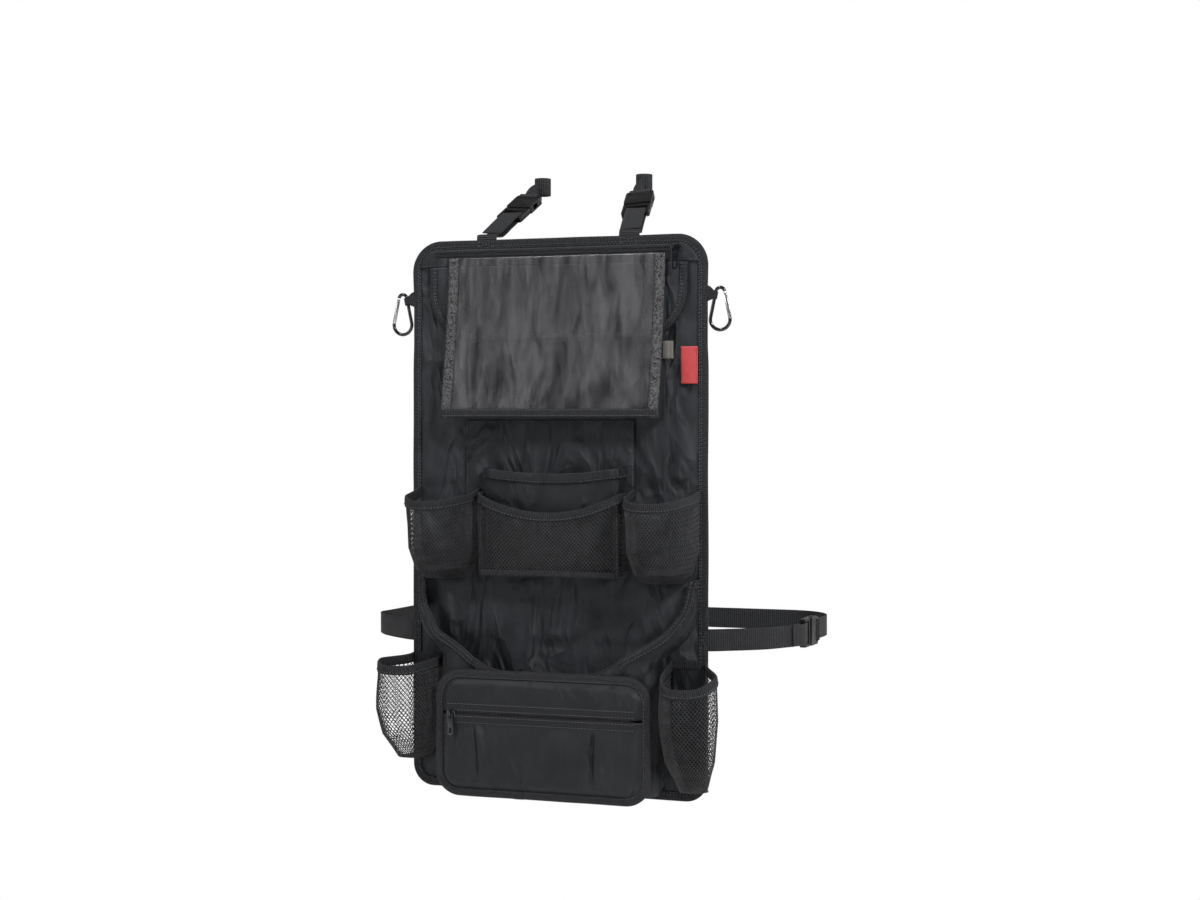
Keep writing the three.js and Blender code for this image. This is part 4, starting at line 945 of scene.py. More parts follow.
gusset_high, gusset_wide = SLEEVE_LOW - SLEEVE_TOP - 0.5, 2 * (SLEEVE_HALF - 1)
gusset_us = steps(0, gusset_high, 5) + steps(gusset_high + 0.01, gusset_high + gusset_wide, 6)
gusset_us += steps(gusset_high + gusset_wide + 0.01, 2 * gusset_high + gusset_wide, 5)
gusset = cloth_sheet(
    "sleeve_gusset_cloth", gusset_point, gusset_us, steps(0, 1, 0.125),
    pocket_cloth, 1.1, uv=lambda u, v: (u, v * 27),
)
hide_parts("sleeve_gusset")


def crease(x, drop):
    """Creases of the film: long soft folds that run down and across."""
    edge = ease(0, 16, SLEEVE_HALF - 12 - abs(x)) * ease(0, 10, drop - SLEEVE_TOP)
    edge *= ease(0, 12, SLEEVE_LOW - 10 - drop)
    a = wave(x + 0.5 * drop, 0, drop * 0.5, 34, 14)
    b = wave(x - 0.8 * drop, 0, drop, 21, 15)
    ridge = (1 - abs(wave(x * 0.9, 0, drop * 0.35, 30, 16)) * 2.2)
    return edge * (1.1 * a + 0.45 * b + 0.55 * max(ridge, 0.0))


def film_point(u, d):
    """The film's surface, with fewer creases where it is sewn in at the top."""
    return (u, sleeve_front(d) + 0.45 - crease(u, d) * min(1.0, 0.25 + (d - SLEEVE_TOP) / 90), level(d))


window = cloth_sheet(
    "sleeve_film", film_point, steps(-129, 129, 2.6), steps(SLEEVE_TOP, SLEEVE_LOW - 4, 2.6),
    film, 0.4, offset=0.0, uv=lambda u, v: (u, level(v)),
)
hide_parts("sleeve_window")


def on_sleeve(x, drop, lift):
    """A point at a height of lift above the sleeve's front."""
    return Vector((x, sleeve_front(drop), level(drop))) + sleeve_normal((0, 0, level(drop))) * lift


frame_pieces = []
for word, sign in (("left", -1), ("right", 1)):
    path = []
    for d in steps(SLEEVE_TOP, SLEEVE_LOW, 5):
        x = sign * (SLEEVE_HALF - 6) + 0.4 * wave(0, 0, d, 40, 17)
        path.append(Vector((x, sleeve_front(d), level(d))))
    side_tape = flat_profile(6.0, 1.1, belly=0.25)
    frame_pieces.append(
        band(f"sleeve_frame_{word}", frames_along(path, sleeve_normal), side_tape, knitted)
    )
path = []
for x in steps(-SLEEVE_HALF + 0.4, SLEEVE_HALF - 0.4, 5):
    path.append(
        Vector((x, sleeve_front(SLEEVE_LOW - 5), level(SLEEVE_LOW - 5) + 0.3 * wave(x, 0, 0, 50, 18)))
    )
low_tape = flat_profile(5.0, 1.1, lift=0.5, belly=0.25)
frame_pieces.append(
    band("sleeve_frame_low", frames_along(path, sleeve_normal), low_tape, grosgrain)
)
for obj in frame_pieces:
    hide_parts("sleeve_frame")
seams = []
for sign in (-1, 1):
    for at in (SLEEVE_HALF - 2.2, SLEEVE_HALF - 10.2):
        drops = steps(SLEEVE_TOP + 1, SLEEVE_LOW - 10, 6)
        seams.append(([on_sleeve(sign * at, d, 1.25) for d in drops], sleeve_normal))
for at in (SLEEVE_LOW - 8.4, SLEEVE_LOW - 1.8):
    seams.append(([on_sleeve(x, at, 1.75) for x in (-SLEEVE_HALF + 2, SLEEVE_HALF - 2)], sleeve_normal))
stitch_rows("sleeve_stitching", seams, radius=0.42)

TAB_DROP = 131.0
tab_low, tab_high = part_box("sleeve_tab")
tab_y = (tab_low[1] + tab_high[1]) / 2 / MM
tab = cloth_sheet(
    "grey_tab", lambda u, d: (u, tab_y + 1.4 * math.sin((u - 132) / 17 * math.pi) * -1, level(d)),
    steps(tab_low[0] / MM - 0.6, tab_high[0] / MM, 1.5), steps(TAB_DROP - 10, TAB_DROP + 10, 2),
    grey_webbing, 1.2, uv=lambda u, v: (u, v),
)
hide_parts("sleeve_tab")

label_low, label_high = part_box("side_label")
lx0, lx1 = label_low[0] / MM, label_high[0] / MM
lz0, lz1 = label_low[2] / MM, label_high[2] / MM


def label_point(u, v):
    lift = 1.3 * math.sin(math.pi * (u - lx0) / (lx1 - lx0)) * (0.5 + 0.5 * (lz1 - v) / (lz1 - lz0))
    return (u, -4.9 - 0.5 - lift, v)


label = cloth_sheet(
    "side_label_satin", label_point, steps(lx0, lx1, 1.4), steps(lz0, lz1, 2.0), label_satin, 0.55,
    uv=lambda u, v: (u, v)
)
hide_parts("side_label")
stitch_rows(
    "label_stitching", [([(lx1 - 1.2, -5.9, lz0 + 1), (lx1 - 1.2, -5.9, lz1 - 1)], FRONT)], stitch=2.2,
    gap=0.8, radius=0.3
)

# Facing above the pockets

FACING_TOP = 209.5


def facing_point(u, d):
    """Cloth between the sleeve and the pockets, in soft folds that hang down and end flat behind the pockets.
    """
    hang = ease(FACING_TOP, FACING_TOP + 18, d) * (1 - ease(262, 290, d))
    pleat = 2.2 * math.exp(-(((u + 32 + 0.10 * (d - 202)) / 4.0) ** 2))
    pleat -= 1.2 * math.exp(-(((u + 40 + 0.10 * (d - 202)) / 5.0) ** 2))
    slack = 1.5 * wave(u + 0.3 * d, 0, d * 0.35, 30, 19) + 0.8 * wave(u - 0.2 * d, 0, d * 0.5, 15, 41)
    edge = ease(0, 9, u + 113) * ease(0, 9, 95 - u)
    return (u, -5.5 - edge * (0.5 + hang * max(pleat + slack + 2.6 * folds(u, d, 40, 53), -0.4)), level(d))


facing = cloth_sheet(
    "facing_cloth", facing_point, steps(-113, 95, 2.4), steps(FACING_TOP, 304, 2.6), polyester, 0.9,
    uv=lambda u, v: (u, level(v))
)
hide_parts("centre_facing")
stitch_rows("facing_stitching", [
    ([(-111, -6.3, level(FACING_TOP + 2)), (-111, -6.3, level(286))], FRONT),
    ([(93, -6.3, level(FACING_TOP + 2)), (93, -6.3, level(286))], FRONT),
    ([(-111, -6.4, level(FACING_TOP + 2)), (93, -6.4, level(FACING_TOP + 2))], FRONT),
])

# Pockets


def power_bow(power, half, depth, count=120):
    """Plan of a pocket wall from its left end to its right one: points (x, depth) and the lengths along it.
    """
    points = []
    for i in range(count + 1):
        angle = math.pi * (1 + i / count)
        c, s = math.cos(angle), math.sin(angle)
        points.append((half * math.copysign(abs(c) ** (2 / power), c), depth * abs(s) ** (2 / power)))
    lengths = [0.0]
    for a, b in zip(points, points[1:]):
        lengths.append(lengths[-1] + math.hypot(b[0] - a[0], b[1] - a[1]))
    return points, lengths


def panel_edge(drop):
    """Half width of the panel at this drop, 1 mm inside its outline."""
    return panel_half(drop, 1.0)


class Pocket:
    """Outer surface of a pocket: stations of (drop, half, depth) down from its rim, in front of the plane at
    back.
    """

    def __init__(self, x, stations, power, rim, back=FRONT_FACE, bulge=None, edge=None):
        self.x, self.stations, self.power = x, stations, power
        self.rim, self.back, self.edge = rim, back, edge
        self.bulge = bulge or (lambda share, drop: 0.0)
        self.unit = power_bow(power, 1.0, stations[0][2] / stations[0][1])
        self.low = stations[-1][0]

    def size(self, drop):
        """Half width and depth of the plan at a drop."""
        if drop <= self.stations[0][0]:
            return self.stations[0][1:]
        for (d0, h0, y0), (d1, h1, y1) in zip(self.stations, self.stations[1:]):
            if drop <= d1:
                t = (drop - d0) / (d1 - d0)
                return (h0 + (h1 - h0) * t, y0 + (y1 - y0) * t)
        return self.stations[-1][1:]

    def plan(self, share):
        """A point of the bow, as shares of its half width and depth, evenly spaced along it."""
        points, lengths = self.unit
        want = lengths[-1] * min(max(share, 0.0), 1.0)
        k = int(np.searchsorted(lengths, want, side="right")) - 1
        k = min(max(k, 0), len(points) - 2)
        t = (want - lengths[k]) / max(lengths[k + 1] - lengths[k], 1e-9)
        tall = self.stations[0][2] / self.stations[0][1]
        return (
            points[k][0] + (points[k + 1][0] - points[k][0]) * t,
            (points[k][1] + (points[k + 1][1] - points[k][1]) * t) / tall
        )

    def at(self, share, drop, inset=0.0):
        """A point of the wall, at a share of the way from its left end to its right one."""
        half, depth = self.size(drop)
        u, w = self.plan(share)
        out = self.bulge(share, drop) - inset
        normal = self.out(share)
        x = self.x + half * u
        if self.edge and self.x * u > 0:
            x -= math.copysign(max(abs(x) - self.edge(drop), 0.0) * (1 - ease(0.0, 0.6, w)), x)
        return Vector((x + normal.x * out, self.back - depth * w + normal.y * out, level(drop)))

    def out(self, share):
        """The wall's outward direction."""
        a, b = self.plan(share - 0.012), self.plan(share + 0.012)
        half, depth = self.stations[0][1:]
        along = Vector(((b[0] - a[0]) * half, -(b[1] - a[1]) * depth, 0)).normalized()
        return Vector((along.y, -along.x, 0))

    def rim_drop(self, share):
        """Drop of the rim at this share, where the rim's own line meets the wall."""
        p = self.at(share, self.stations[0][0])
        return self.rim(p.x - self.x if abs(self.x) > 1 else p.x, self.back - p.y)

    def length(self, drop):
        """Length of the wall's plan at a drop."""
        half, depth = self.size(drop)
        return power_bow(self.power, half, depth)[1][-1]

    def shares(self, spacing):
        """Even shares of the way round, for the wanted spacing."""
        return steps(0, 1, spacing / self.length(self.stations[0][0]))


def pocket_cloth_wall(name, pocket, material, node, spacing=4.0, thick=1.0, floor=True, start=0.0):
    """Cloth wall of a pocket with its bottom, as one sheet."""
    shares = pocket.shares(spacing)
    total = pocket.length(pocket.stations[0][0])
    levels = [i / 22 for i in range(23)]
    verts, uvs = [], []
    rows_down = 0
    for t in levels:
        for s in shares:
            top = pocket.rim_drop(s) + start
            drop = top + (pocket.low - top) * t
            verts.append(tuple(pocket.at(s, drop)))
            uvs.append((s * total, level(drop)))
        rows_down += 1
    if floor:
        for t in (0.06, 0.2, 0.5, 0.8, 1.0):
            for s in shares:
                p = pocket.at(s, pocket.low)
                y = pocket.back + (p.y - pocket.back) * (1 - t)
                verts.append(
                    (pocket.x + (p.x - pocket.x) * (1 - 0.04 * t), y, p.z - 0.8 * math.sin(math.pi * t))
                )
                uvs.append((s * total, level(pocket.low) - t * 30))
            rows_down += 1
    wide = len(shares)
    faces = [
        (j * wide + i, (j + 1) * wide + i, (j + 1) * wide + i + 1, j * wide + i + 1)
        for j in range(rows_down - 1) for i in range(wide - 1)
    ]
    obj = piece(name, verts, faces, material, uvs=uvs)
    modify(obj, "SOLIDIFY", thickness=thick * MM, offset=-1.0, use_rim=True)
    if node:
        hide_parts(node)
    return obj


# Outline of a tape folded over a rim, with its longer leg in front
RIM_TAPE = [
    (10.0, 0.35), (10.0, 1.0), (7.5, 1.25), (5.0, 1.3), (2.5, 1.25), (0.3, 1.1), (-0.8, 0.5), (-1.0, -0.5),
    (-0.8, -1.6), (0.3, -2.2), (5.0, -2.4), (10.0, -2.1), (10.0, -1.6), (0.6, -1.5), (0.3, -0.4), (0.6, 0.3),
]


def rim_tape(
    name, pocket, node, material=None, profile=None, spacing=4.0, seam=(7.6,), start=0.0, end=1.0, lift=0.0
):
    """Binding folded over a pocket's rim, with its stitching."""
    shares = steps(start, end, spacing / pocket.length(pocket.stations[0][0]))
    points, normals = [], []
    for s in shares:
        drop = pocket.rim_drop(s)
        points.append(
            pocket.at(s, drop) + Vector((0, 0, 0.4 * wave(s * 200, pocket.x, 0, 28, 21)))
            + pocket.out(s) * lift
        )
        normals.append(pocket.out(s))
    stations = frames_along(points, lambda p, i: normals[i])
    obj = band(name, stations, profile or RIM_TAPE, material or grosgrain)
    if node:
        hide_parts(node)
    rows_here = []
    for at in seam:
        path = [p + across * at + up * 1.3 for p, along, up, across in stations]
        rows_here.append((path, Lookup(path, [st[2] for st in stations])))
    stitch_rows(name + "_stitching", rows_here, radius=0.42)
    return stations


class Lookup:
    """Normal of the nearest station of a path."""

    def __init__(self, points, normals):
        self.points = np.array([tuple(p) for p in points])
        self.normals = normals

    def __call__(self, p, i=0):
        return self.normals[int(np.argmin(((self.points - np.array(tuple(p))) ** 2).sum(1)))]


def netting(
    name, pocket, node, pitch=4.4, row=3.3, radius=0.42, start=0.0, end=1.0, from_rim=8.0, closed_floor=True
):
    """Knitted netting: cords that zigzag down the wall and meet in short knots, which leaves six-sided holes.
    """
    total = pocket.length(pocket.stations[0][0]) * (end - start)
    count = max(int(round(total / pitch)), 4)
    rows_down = int(round((pocket.low - min(pocket.rim_drop(0.0), pocket.rim_drop(0.5))) / row))
    verts, faces = [], []

    def surface(share, t):
        share = start + (end - start) * share
        share = min(max(share, 0.0), 1.0)
        top = pocket.rim_drop(share) + from_rim
        if t <= 1.0:
            drop = top + (pocket.low - top) * t
            return pocket.at(share, drop, 0.5), pocket.out(share)
        p = pocket.at(share, pocket.low, 0.5)
        f = t - 1.0
        y = pocket.back + (p.y - pocket.back) * (1 - f)
        x = pocket.x + (p.x - pocket.x) * (1 - 0.2 * f)
        if pocket.edge:
            x = math.copysign(min(abs(x), pocket.edge(pocket.low) + 14.0 * (1 - f)), x)
        return Vector((x, y, p.z - 2.0 * math.sin(math.pi * f))), Vector((0, 0, -1))

    t_floor = 0.0
    if closed_floor:
        t_floor = pocket.size(pocket.low)[1] / (pocket.low - pocket.rim_drop(0.5))
    levels = int(round(rows_down * (1 + t_floor)))

    def height(t):
        return t if t <= 1 or not closed_floor else 1 + (t - 1) / max(t_floor, 1e-6)

    def tube(path, ups, sizes):
        base = len(verts)
        for i, p in enumerate(path):
            along = (path[min(i + 1, len(path) - 1)] - path[max(i - 1, 0)]).normalized()
            up = (ups[i] - along * ups[i].dot(along)).normalized()
            across = along.cross(up)
            for k in range(4):
                angle = math.pi / 4 + math.pi / 2 * k
                verts.append(tuple(p + (across * math.cos(angle) + up * math.sin(angle)) * sizes[i]))
        for i in range(len(path) - 1):
            for k in range(4):
                n = (k + 1) % 4
                a = base + 4 * i
                faces.append((a + k, a + n, a + 4 + n, a + 4 + k))

    for strand in range(count + 1):
        for lean in (0, 1):
            path, ups, sizes = [], [], []
            for j in range(levels + 1):
                side = 1 if (j + lean) % 2 else -1
                for dt in (-0.18, 0.18):
                    t = height((j + dt) / rows_down)
                    if t < 0 or t > (2.0 if closed_floor else 1.0):
                        continue
                    share = (strand + side * 0.25 + 0.5 * lean) / count
                    share += 0.0012 * wave(strand * 3.1, j * 2.3, pocket.x, 4.0, 22)
                    near = 0.045 * (1 if side > 0 else -1) / count
                    p, up = surface(share - near, t)
                    path.append(p + up * (0.16 if lean else -0.16))
                    ups.append(up)
                    sizes.append(radius * 1.05)
            if len(path) > 1 and (strand + 0.5 * lean) / count <= 1.0:
                tube(path, ups, sizes)
    obj = piece(name, verts, faces, net_cord)
    if node:
        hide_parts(node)
    return obj


def sagging(half, top, sag):
    """A rim that sags between its ends."""
    return lambda x, y: top + sag * (1 - min(abs(x) / (half + 12), 1.0) ** 2)


# Cloth pocket in the middle row
def wipes_bulge(share, drop):
    return (
        2.6 * wave(share * 200, 0, drop * 0.45, 26, 23) + 1.3 * folds(share * 200, drop, 34, 55)
    ) * ease(0, 0.12, share) * ease(0, 0.12, 1 - share) - 0.6


wipes = Pocket(0.0, [(251, 85, 23), (384, 85, 17)], 7, sagging(85, 263, 9), bulge=wipes_bulge)
pocket_cloth_wall("wipes_pocket_cloth", wipes, pocket_cloth, "wipes_pocket")
HEM = [
    (11.0, 0.1), (11.0, 0.75), (6, 1.0), (0.3, 1.0), (-0.9, 0.5), (-1.1, -0.5), (-0.9, -1.5), (0.3, -2.0),
    (10.0, -1.8), (10.0, -1.3), (0.6, -1.2), (0.6, 0.1)
]
rim_tape("wipes_hem_cloth", wipes, "wipes_hem", material=pocket_cloth, profile=HEM, seam=(8.6,))

# Net pocket in front of it: cloth sides bound at the front corners, net across
def centre_bulge(share, drop):
    middle = math.sin(math.pi * share)
    return middle * (
        2.2 * math.sin(math.pi * min(max((drop - 290) / 96, 0), 1)) + 0.8 * wave(share * 150, 0, drop, 30, 25)
    )


centre = Pocket(0.0, [(275, 88, 33), (386, 88, 29)], 9, sagging(88, 287, 29), bulge=centre_bulge)
netting("centre_net", centre, "centre_mesh_pocket")
rim_tape("centre_rim_tape", centre, "centre_mesh_binding")
corner_rows = []
for share, word in ((0.135, "left"), (0.865, "right")):
    path = [centre.at(share, d) for d in steps(centre.rim_drop(share) + 6, 386, 4)]
    normal = (centre.out(share) + Vector((0, -0.3, 0))).normalized()
    stations = frames_along(path, normal)
    strip = band(
        f"centre_corner_tape_{word}", stations, flat_profile(3.2, 1.1, lift=-0.2), grosgrain
    )
    corner_rows.append(([p + up * 0.95 for p, along, up, across in stations], normal))
stitch_rows("centre_corner_stitching", corner_rows, radius=0.4)
path = [Vector((x, centre.back - centre.size(386)[1] - 0.2, level(385))) for x in steps(-84, 84, 5)]
band("centre_foot_tape", frames_along(path, FRONT), flat_profile(3.4, 1.1, lift=-0.2), grosgrain)
cloth_sheet(
    "centre_floor_cloth", lambda u, v: (u, -5.4 - v, level(386.2) - 0.6 * math.sin(math.pi * v / 24)),
    steps(-86, 86, 6), steps(0, 24, 4), polyester, 0.9, uv=lambda u, v: (u, v),
)

# Cup pockets: net sides down to a plain cloth base
for side, word in ((-1, "left"), (1, "right")):
    cup = Pocket(
        side * CUP_X, [(277, 40, 75), (357, 38, 70), (381, 32, 57), (393, 23, 37)], 2.6,
        lambda x, y: 289 + 14 * y / 75 + 1.0 * math.sin(y / 12),
        bulge=lambda s, d: 0.7 * wave(s * 150, 0, d, 22, 26),
    )
    netting(f"cup_net_{word}", cup, f"cup_mesh_{word}", closed_floor=False)
    rim_tape(f"cup_rim_tape_{word}", cup, f"cup_binding_{word}")
    base = Pocket(
        cup.x, [(370, 34.0, 62.2), (381, 31.2, 56.0), (392.6, 22.6, 36.6)], 2.6,
        lambda x, y: 374 + 1.5 * math.sin(x / 9), bulge=lambda s, d: 0.5 * wave(s * 90, 0, d, 9, 27),
    )
    pocket_cloth_wall(f"cup_base_cloth_{word}", base, pocket_cloth, None, thick=0.8)

# Big pocket, with its rim in a wide curve
BIG_STATIONS = [
    (382, 172, 8), (424, 172, 20), (452, 163, 31), (478, 134, 38), (496, 134, 41), (617, 134, 41),
    (634, 126, 34)
]


def big_rim(x, y):
    """The wide pocket's rim: flat in the middle, then up each side in a quarter of an ellipse."""
    reach = min(max(abs(x) - 60, 0.0) / 103, 1.0)
    return 390 + 107 * math.sqrt(max(1 - reach**2, 0.0))


def big_bulge(share, drop):
    x = (share - 0.5) * 400
    edge = ease(0, 0.08, share) * ease(0, 0.08, 1 - share)
    zig = max(0.0, 1 - abs((drop - 500 + 0.8 * abs(x) - 90) / 7.0)) * ease(60, 90, abs(x)) * 2.0
    tension = 5.0 * wave(x * 0.6 + drop, 0, drop * 0.5, 34, 28) + 2.0 * wave(x, 0, drop, 17, 29)
    sides = ease(60, 100, abs(x))
    return edge * ((tension + 2.4 * folds(x, drop, 36, 52)) * sides + zig - 1.8)


big = Pocket(0.0, BIG_STATIONS, 6, big_rim, bulge=big_bulge)
pocket_cloth_wall("big_pocket_cloth", big, pocket_cloth, "big_pocket", spacing=3.2)
BIG_TAPE = [(c * 0.95, h) for c, h in RIM_TAPE]
rim_tape("big_rim_tape", big, "big_pocket_binding", profile=BIG_TAPE, seam=(2.6, 7.4), spacing=3.2)

# Bottle pockets: net round a cloth back. At the back their outer side starts from the panel's edge.
for side, word, top, front_drop, low in ((-1, "left", 484, 8, 602), (1, "right", 481, 24, 623)):
    tall = low - top
    taper = [(top - 14, 33, 72), (top + 60, 35, 72), (top + 0.76 * tall, 30, 63), (low, 17, 40)]
    bottle = Pocket(
        side * BOTTLE_X, taper, 3,
        lambda x, y, top=top, front_drop=front_drop: top + front_drop * y / 72 + 0.8 * math.sin(y / 10),
        bulge=lambda s, d, top=top, tall=tall: math.sin(math.pi * s) * 0.8 * wave(s * 150, 4, d, 26, 30)
        + 1.6 * math.sin(math.pi * min(max((d - top - 10) / (0.8 * tall), 0), 1)),
        edge=panel_edge,
    )
    netting(f"bottle_net_{word}", bottle, f"bottle_mesh_{word}")
    rim_tape(f"bottle_rim_tape_{word}", bottle, f"bottle_binding_{word}", lift=0.0)

    def back_point(u, d, bottle=bottle):
        half, depth = bottle.size(d)
        x = min(abs(bottle.x + u * (half - 0.5)), panel_edge(d) - 0.5)
        return (math.copysign(x, bottle.x), FRONT_FACE - 0.6 - 0.4 * wave(u * 38, 2, d, 20, 31), level(d))

    cloth_sheet(
        f"bottle_back_cloth_{word}", back_point, [v / 37 for v in steps(-37, 37, 4)], steps(top + 1, low, 4),
        pocket_cloth, 0.9, uv=lambda u, v: (u * 37, level(v)),
    )
    path = [Vector((side * x, FRONT_FACE - 0.6, level(top))) for x in steps(BOTTLE_X - 35, PANEL_HALF - 1, 4)]
    band(
        f"bottle_back_tape_{word}", frames_along(path, FRONT),
        [(c * (1 if side > 0 else -1), h * 0.8) for c, h in RIM_TAPE], grosgrain
    )

# Front pocket with its zip: a flat back and a raised front inside a herringbone binding
ZIP_X, ZIP_TOP, ZIP_LOW, ZIP_R = 131.0, 496.0, 641.0, 30.0
ZIP_BACK, ZIP_FLANGE = -47.4, -51.3
POCKET_ZIP = 545.0


def front_half(drop, inset):
    """Half width of the front pocket with its rounded corners."""
    wide, radius = ZIP_X - inset, max(ZIP_R - inset, 6.0)
    edge = min(drop - ZIP_TOP, ZIP_LOW - drop) - inset
    if edge < radius:
        return wide - radius + math.sqrt(max(radius**2 - (radius - max(edge, 0.0)) ** 2, 0.0))
    return wide


def from_outline(x, drop):
    """Distance inside the front pocket's outline."""
    qx, qd = abs(x) - (ZIP_X - ZIP_R), abs(drop - (ZIP_TOP + ZIP_LOW) / 2) - ((ZIP_LOW - ZIP_TOP) / 2 - ZIP_R)
    outside = math.hypot(max(qx, 0), max(qd, 0)) + min(max(qx, qd), 0)
    return ZIP_R - outside


def front_y(x, drop):
    """The front pocket's face: a raised edge, soft folds, and two pressed pleats below the zip."""
    e = from_outline(x, drop)
    y = ZIP_FLANGE - 6.0 * ease(9.5, 17, e)
    inside = ease(14, 40, e)
    y -= inside * 1.2 * ease(0, 30, abs(drop - POCKET_ZIP) - 12)
    y -= inside * 2.0 * (wave(x, 0, drop, 48, 32) + 0.5 * wave(x + drop, 0, drop, 22, 33)) * ease(
        10, 22, abs(drop - POCKET_ZIP)
    )
    y -= inside * 1.1 * folds(x, drop, 58, 54) * ease(12, 24, abs(drop - POCKET_ZIP))
    if drop > POCKET_ZIP + 12:
        down = ease(POCKET_ZIP + 12, POCKET_ZIP + 20, drop)
        for at, lean in ((-80.0 + 4.0 * math.sin((drop - 560) / 80 * math.pi), 1), (64.0, -1)):
            d = (x - at) * lean
            y += down * inside * (
                3.4 * math.exp(-((d / 1.7) ** 2)) - 2.4 * math.exp(-(((d - 5.0) / 3.6) ** 2))
            )
    return y


def front_point(u, drop):
    x = u * front_half(drop, 8.6)
    return (x, front_y(x, drop), level(drop))


front_columns = [v / 120 for v in steps(-120, 120, 1.8)]
for word, d0, d1 in (("upper", 504.8, POCKET_ZIP - 1.5), ("lower", POCKET_ZIP + 1.5, 632.2)):
    obj = cloth_sheet(
        f"zip_pocket_{word}_cloth", front_point, front_columns, steps(d0, d1, 2.2),
        pocket_cloth, 0.9, offset=-1.0, uv=lambda u, v: (u * 120, level(v)),
    )
    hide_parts(f"zip_pocket_{word}_front")
obj = cloth_sheet(
    "zip_pocket_back_cloth",
    lambda u, d: (u * front_half(d, 2.0), ZIP_BACK - 0.9 - 0.2 * wave(u * 120, 0, d, 30, 34), level(d)),
    [v / 120 for v in steps(-120, 120, 6)], steps(498, 639, 4),
    pocket_cloth, 1.0, offset=-1.0, uv=lambda u, v: (u * 120, level(v)),
)
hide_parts("zip_pocket_back")
front_path = outline(0, 4.0, ZIP_R, ZIP_R, ZIP_X, ZIP_TOP, ZIP_LOW)
front_path = [
    Vector((
        p.x + 0.5 * wave(p.x, 0, p.z, 60, 35), ZIP_BACK - 0.3 * wave(p.x, 3, p.z, 30, 36),
        p.z + 0.5 * wave(p.x, 6, p.z, 55, 37),
    ))
    for p in front_path
]
FRONT_EDGE = [(c * 10 / 11, h * 5.1 / 4.6) for c, h in FOLDED_EDGE]
obj = band(
    "zip_pocket_tape", frames_along(front_path, FRONT, closed=True), FRONT_EDGE, herringbone,
    closed=True
)
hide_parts("zip_pocket_binding")
lap = [Vector((x, ZIP_BACK, level(ZIP_LOW))) for x in steps(-34, -22, 2)]
band(
    "zip_pocket_tape_lap", frames_along(lap, FRONT),
    [(c * 1.02 + 0.2, h * 1.08 - 0.1) for c, h in FRONT_EDGE], herringbone
)
loop = outline(8.2, 5.0, ZIP_R, ZIP_R, ZIP_X, ZIP_TOP, ZIP_LOW)
stitch_rows("zip_pocket_stitching", [(shifted(loop + loop[:1], ZIP_BACK - 5.5), FRONT)], radius=0.42)
zip_strips("pocket", 114.7, level(POCKET_ZIP), -57.6, 0.9, 12.0, (3.6, 10.6))

# Webbing


def smooth_path(points, spacing=2.5):
    """A smooth curve through the points."""
    points = [Vector(p) for p in points]
    ends = [points[0] * 2 - points[1], *points, points[-1] * 2 - points[-2]]
    fine = []
    for a, b, c, d in zip(ends, ends[1:], ends[2:], ends[3:]):
        for i in range(10):
            t = i / 10
            bend = (2 * a - 5 * b + 4 * c - d) * t * t + (3 * b - a - 3 * c + d) * t**3
            fine.append(0.5 * ((2 * b) + (c - a) * t + bend))
    fine.append(points[-1])
    return polyline(fine, spacing)


def web_profile(half, thick):
    """Cross-section of webbing about its middle, with round selvedges."""
    t = thick / 2
    right = [(half - 0.7, t), (half - 0.2, t * 0.7), (half, 0), (half - 0.2, -t * 0.7), (half - 0.7, -t)]
    top = [(half * u, t) for u in (-0.5, 0.0, 0.5)]
    return [*top, *right, *[(c, -t) for c, _ in reversed(top)], *[(-c, h) for c, h in reversed(right)]]


def webbing_strip(
    name, points, across, node=None, body="panel", half=WEB / 2, thick=WEB_T, material=None, closed=False,
    ripple=0.25
):
    """Webbing through points; across is its width direction, or gives it for a share of the length."""
    path = points if closed else smooth_path(points)
    stations = []
    count = len(path)
    for i, p in enumerate(path):
        before = path[i - 1] if closed or i else path[0]
        after = path[(i + 1) % count] if closed or i < count - 1 else path[-1]
        along = (after - before).normalized()
        wide = across(i / (count - 1)) if callable(across) else Vector(across)
        wide = (wide - along * wide.dot(along)).normalized()
        up = wide.cross(along)
        stations.append((p + up * ripple * wave(p.x, p.y, p.z, 22, 40), along, up, wide))
    obj = band(
        name, stations, web_profile(half, thick), material or webbing, closed=closed, body=body
    )
    if node:
        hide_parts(node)
    return obj, stations


def buckle_frame(origin, along, across):
    """The place and turn of a buckle, from its middle, its length and its width."""
    up = Vector(along).normalized()
    wide = (Vector(across) - up * Vector(across).dot(up)).normalized()
    face = up.cross(wide)
    return Matrix((
        (wide.x, face.x, up.x, origin[0]), (wide.y, face.y, up.y, origin[1]),
        (wide.z, face.z, up.z, origin[2]), (0, 0, 0, 1),
    ))


def lock_path(tail):
    """Webbing's way into a buckle: over the first bar of the ladder, round the second and back."""
    return [
        (3.2, -40), (3.2, -22), (2.6, -14.5), (1.4, -10.9), (0, -10.1), (-1.4, -10.9), (-2.6, -14.5),
        (-3.2, -22), (-3.2, -40), (-2.4, -tail)
    ]


def bar_loop(name, matrix, body):
    """Webbing sewn round the bar of a buckle, as a closed loop."""
    half, z0, z1, r = 5.55, 24.95, 31.05, 1.6
    path = []
    for cy, cz, a0 in (
        (half - r, z1 - r, 0), (-half + r, z1 - r, 90), (-half + r, z0 + r, 180), (half - r, z0 + r, 270)
    ):
        for i in range(5):
            angle = math.radians(a0 + 90 * i / 4)
            path.append(matrix @ Vector((0, cy + r * math.cos(angle), cz + r * math.sin(angle))))
    return webbing_strip(
        name, path, matrix.to_3x3() @ Vector((1, 0, 0)), body=body, closed=True, ripple=0.0
    )[0]


